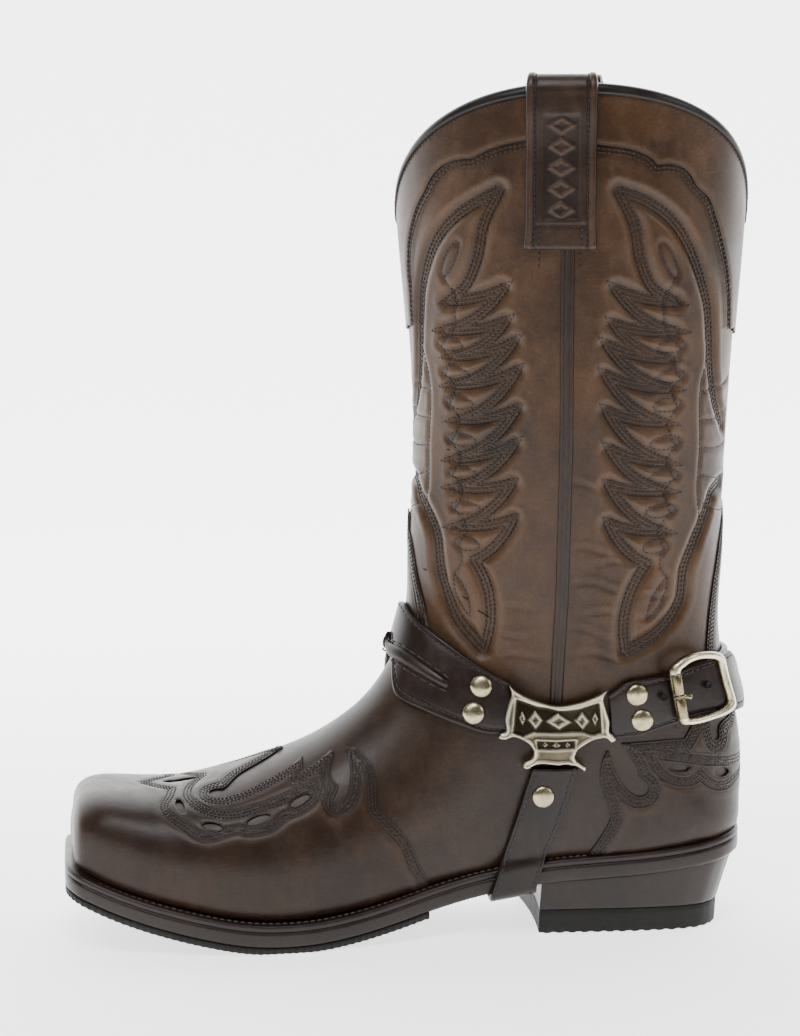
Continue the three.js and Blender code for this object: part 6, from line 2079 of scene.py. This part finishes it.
for side, side_name, middle_x in ((-1, "lateral", -38.0), (1, "medial", -16.0)):
    z_net = np.linspace(300, 388, 45)
    net_s, net_a = [], []
    for w in np.linspace(-1.1, 1.1, 9):
        places = np.stack([np.full(len(z_net), middle_x + PULL_HALF * w), z_net], 1)
        s, a = settle(places, (0, 2), side, low=STATIONS[25])
        net_s.append(s)
        net_a.append(a)
    net_s, net_a = np.array(net_s), np.array(net_a)

    def on_pull(w, lift, z):
        """Points of the pull strap at shares of its width, lifts and heights."""
        i, j = (w + 1.1) / 2.2 * 8, (z - 300) / 2.0
        s, a = sampled(net_s, i, j), sampled(net_a, i, j)
        return skin(s, a) + outward(s, a) * lift[..., None]

    w, along = np.meshgrid(cross_w, run)
    widen = 1 + 0.045 * np.clip((325 - path[:, 1]) / 14, 0, 1) ** 2 * (run < 60)
    mm = np.abs(w) * PULL_HALF
    border = np.clip((mm - 10.9) / 0.7, 0, 1)
    edge = np.sqrt(np.clip(1 - ((mm - 13.3) / 1.2).clip(0, 1) ** 2, 0.0, 1))
    thick = PULL_THICK * (0.80 + 0.28 * border) * edge
    thick -= 0.35 * bell(mm, 10.7, 0.5)
    face_z = path[:, 1][:, None]
    outer_leg = (run < 75)[:, None]
    panel = outer_leg * np.clip((7.6 - mm) / 0.6, 0, 1)
    panel = panel * np.clip((face_z - 321.5) / 0.8, 0, 1) * np.clip((366.5 - face_z) / 0.8, 0, 1)
    cell = (face_z - 321.5) / 9.0 % 1.0 * 2 - 1
    lozenge = 1 - np.abs(w) * PULL_HALF / 6.2 - np.abs(cell) / 0.92
    raised = np.clip(lozenge * 5, 0, 1) - 0.8 * np.clip((lozenge - 0.38) * 6, 0, 1)
    thick += panel * (-0.55 + 0.62 * raised)
    thick -= 0.35 * bell(face_z, PATCH_TOP, 0.7) * outer_leg * (mm < 10.5)
    foot_round = outer_leg * np.clip((face_z - 308.9) / 1.2, 0, 1) ** 0.5 + (1 - outer_leg)
    thick *= 0.35 + 0.65 * foot_round
    # Painted shade in the groove beside the turned borders and over the sunk field round the lozenges, and darker
    # rounded edges; painted highlight on the turned borders and the raised lozenges
    dark = np.clip(0.75 * bell(mm, 10.7, 0.5) + panel * (1 - raised) * 0.55 + 0.3 * (edge < 0.7), 0, 1)
    bright = np.clip(border * bell(mm, 12.3, 0.8) * 0.8 + panel * raised * 0.7, 0, 1)
    inner_points = on_pull(w * widen[:, None], path[:, :1] + 0 * w, path[:, 1:] + 0 * w)
    outer_points = on_pull(
        w * widen[:, None], path[:, :1] + path_out[:, :1] * thick, path[:, 1:] + path_out[:, 1:] * thick,
    )
    shares_all = [
        np.concatenate([np.concatenate([value * 0, value[:, ::-1]], 1).ravel(), [0, 0]])
        for value in (dark, bright)
    ]
    node_name = "pull_strap_" + side_name
    pull_rings = np.concatenate([inner_points, outer_points[:, ::-1]], 1)
    make_piece(
        node_name, *tube(pull_rings), pull_leather, "vamp_leather",
        replaces=[node_name], values=dict(zip(("deep", "wear_and_highlight"), shares_all)),
    )

    def pull_row(aside, lift, z):
        """A row of stitches at places across, lifts and heights, with the directions outwards."""
        aside, lift, z = np.broadcast_arrays(aside / PULL_HALF, lift, z)
        face_points = on_pull(aside, lift, z)
        return np.hstack([face_points, face_points - on_pull(aside, lift - 2, z)])

    rows = []
    k = np.flatnonzero(run < 130)
    face = path[k] + path_out[k] * (PULL_THICK * 0.72)
    for aside in (-10.7, 10.7):
        at_w = np.full(len(k), aside / PULL_HALF)
        face_points = on_pull(at_w, face[:, 0], face[:, 1])
        rows.append(np.hstack([face_points, face_points - on_pull(at_w, path[k, 0], path[k, 1])]))
    rows.append(pull_row(np.linspace(-8.6, 8.6, 30), 2.1 + PULL_THICK * 0.72, PATCH_TOP))
    for aside in (-8.6, 8.6):
        rows.append(pull_row(aside, 2.1 + PULL_THICK * 0.80, np.linspace(PATCH_TOP, 309.5, 30)))
    for aside in (-9.0, 8.2):
        rows.append(pull_row(aside, 0.1, np.linspace(308.0, 300.2, 24)))
    at = np.concatenate([pitched(row, 2.3) for row in rows])
    normals = at[..., 3:] / np.linalg.norm(at[..., 3:], axis=-1, keepdims=True)
    make_piece("pull_stitches_" + side_name, *rods(at[..., :3], normals, 0.32), brown_thread, "vamp_leather")


# Lining and insole
# Tan leather lines the shaft and foot inside the wall, and the insole closes it underneath.
lining_leather = leather(
    "lining_leather", (0.20, 0.13, 0.075), (0.29, 0.20, 0.125), (0.36, 0.27, 0.18),
    roughness=0.55, coat=0.0, ribs=False,
)
WALL = 2.2
lining_rows = np.concatenate([
    np.linspace(3, STATIONS[22], 60), np.linspace(STATIONS[22], LAST_STATION, 50)[1:],
])
lining_net = even_net(lining_rows, 0, 2 * math.pi, 101)
lining_angles = lining_net[1][:, :-1]
lining_stations = np.minimum(lining_net[0][:, :-1], at_height(lining_angles, topline(lining_angles) + 0.8))
lining_points = skin(lining_stations, lining_angles) - outward(lining_stations, lining_angles) * WALL
make_piece(
    "lining", lining_points, grid_faces(*lining_angles.shape, closed=True), lining_leather, "insole_leather",
)
share = np.linspace(0.012, 0.968, 90)
inner_keys = [(0.0120, 14, 11), (0.0300, 23.5, 19.5), (0.0600, 28, 24.2), (0.1000, 29.8, 26.6),
              (0.1600, 30.7, 28.4),
              (0.2400, 29.6, 28.2), (0.3030, 29, 27.5), (0.3520, 28.5, 26.3), (0.4070, 28.5, 25.7),
              (0.4590, 29.3, 26),
              (0.5240, 31.1, 27.6), (0.5770, 34.7, 31.4), (0.6250, 37, 34.1), (0.6780, 39.3, 37.1),
              (0.7430, 40, 38.9),
              (0.7950, 39.6, 39.2), (0.8400, 38.4, 38.5), (0.8860, 36.2, 37), (0.9380, 31.8, 33.5),
              (0.9680, 22, 24)]
inner_width = flowing([row[0] for row in inner_keys], [row[1:] for row in inner_keys])(share)
across_i = np.linspace(0, 1, 31)[None, :]
y = -inner_width[:, :1] * (1 - across_i) + inner_width[:, 1:] * across_i
x = np.broadcast_to((HEEL_BACK - share * SOLE_LENGTH)[:, None], y.shape)
dip = 1.1 * (4 * across_i * (1 - across_i)) ** 0.5
insole_top = np.stack([x, y, welt_top(x) + 0.9 - dip], -1)
insole_low = insole_top - np.array([0, 0, 3.0])
insole_rings = np.concatenate([insole_top, insole_low[:, ::-1]], 1)
make_piece("insole", *tube(insole_rings), lining_leather, "insole_leather", replaces=["insole"])

size = {"cad": CAD_BOX, "scene": [list(corner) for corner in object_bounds()]}
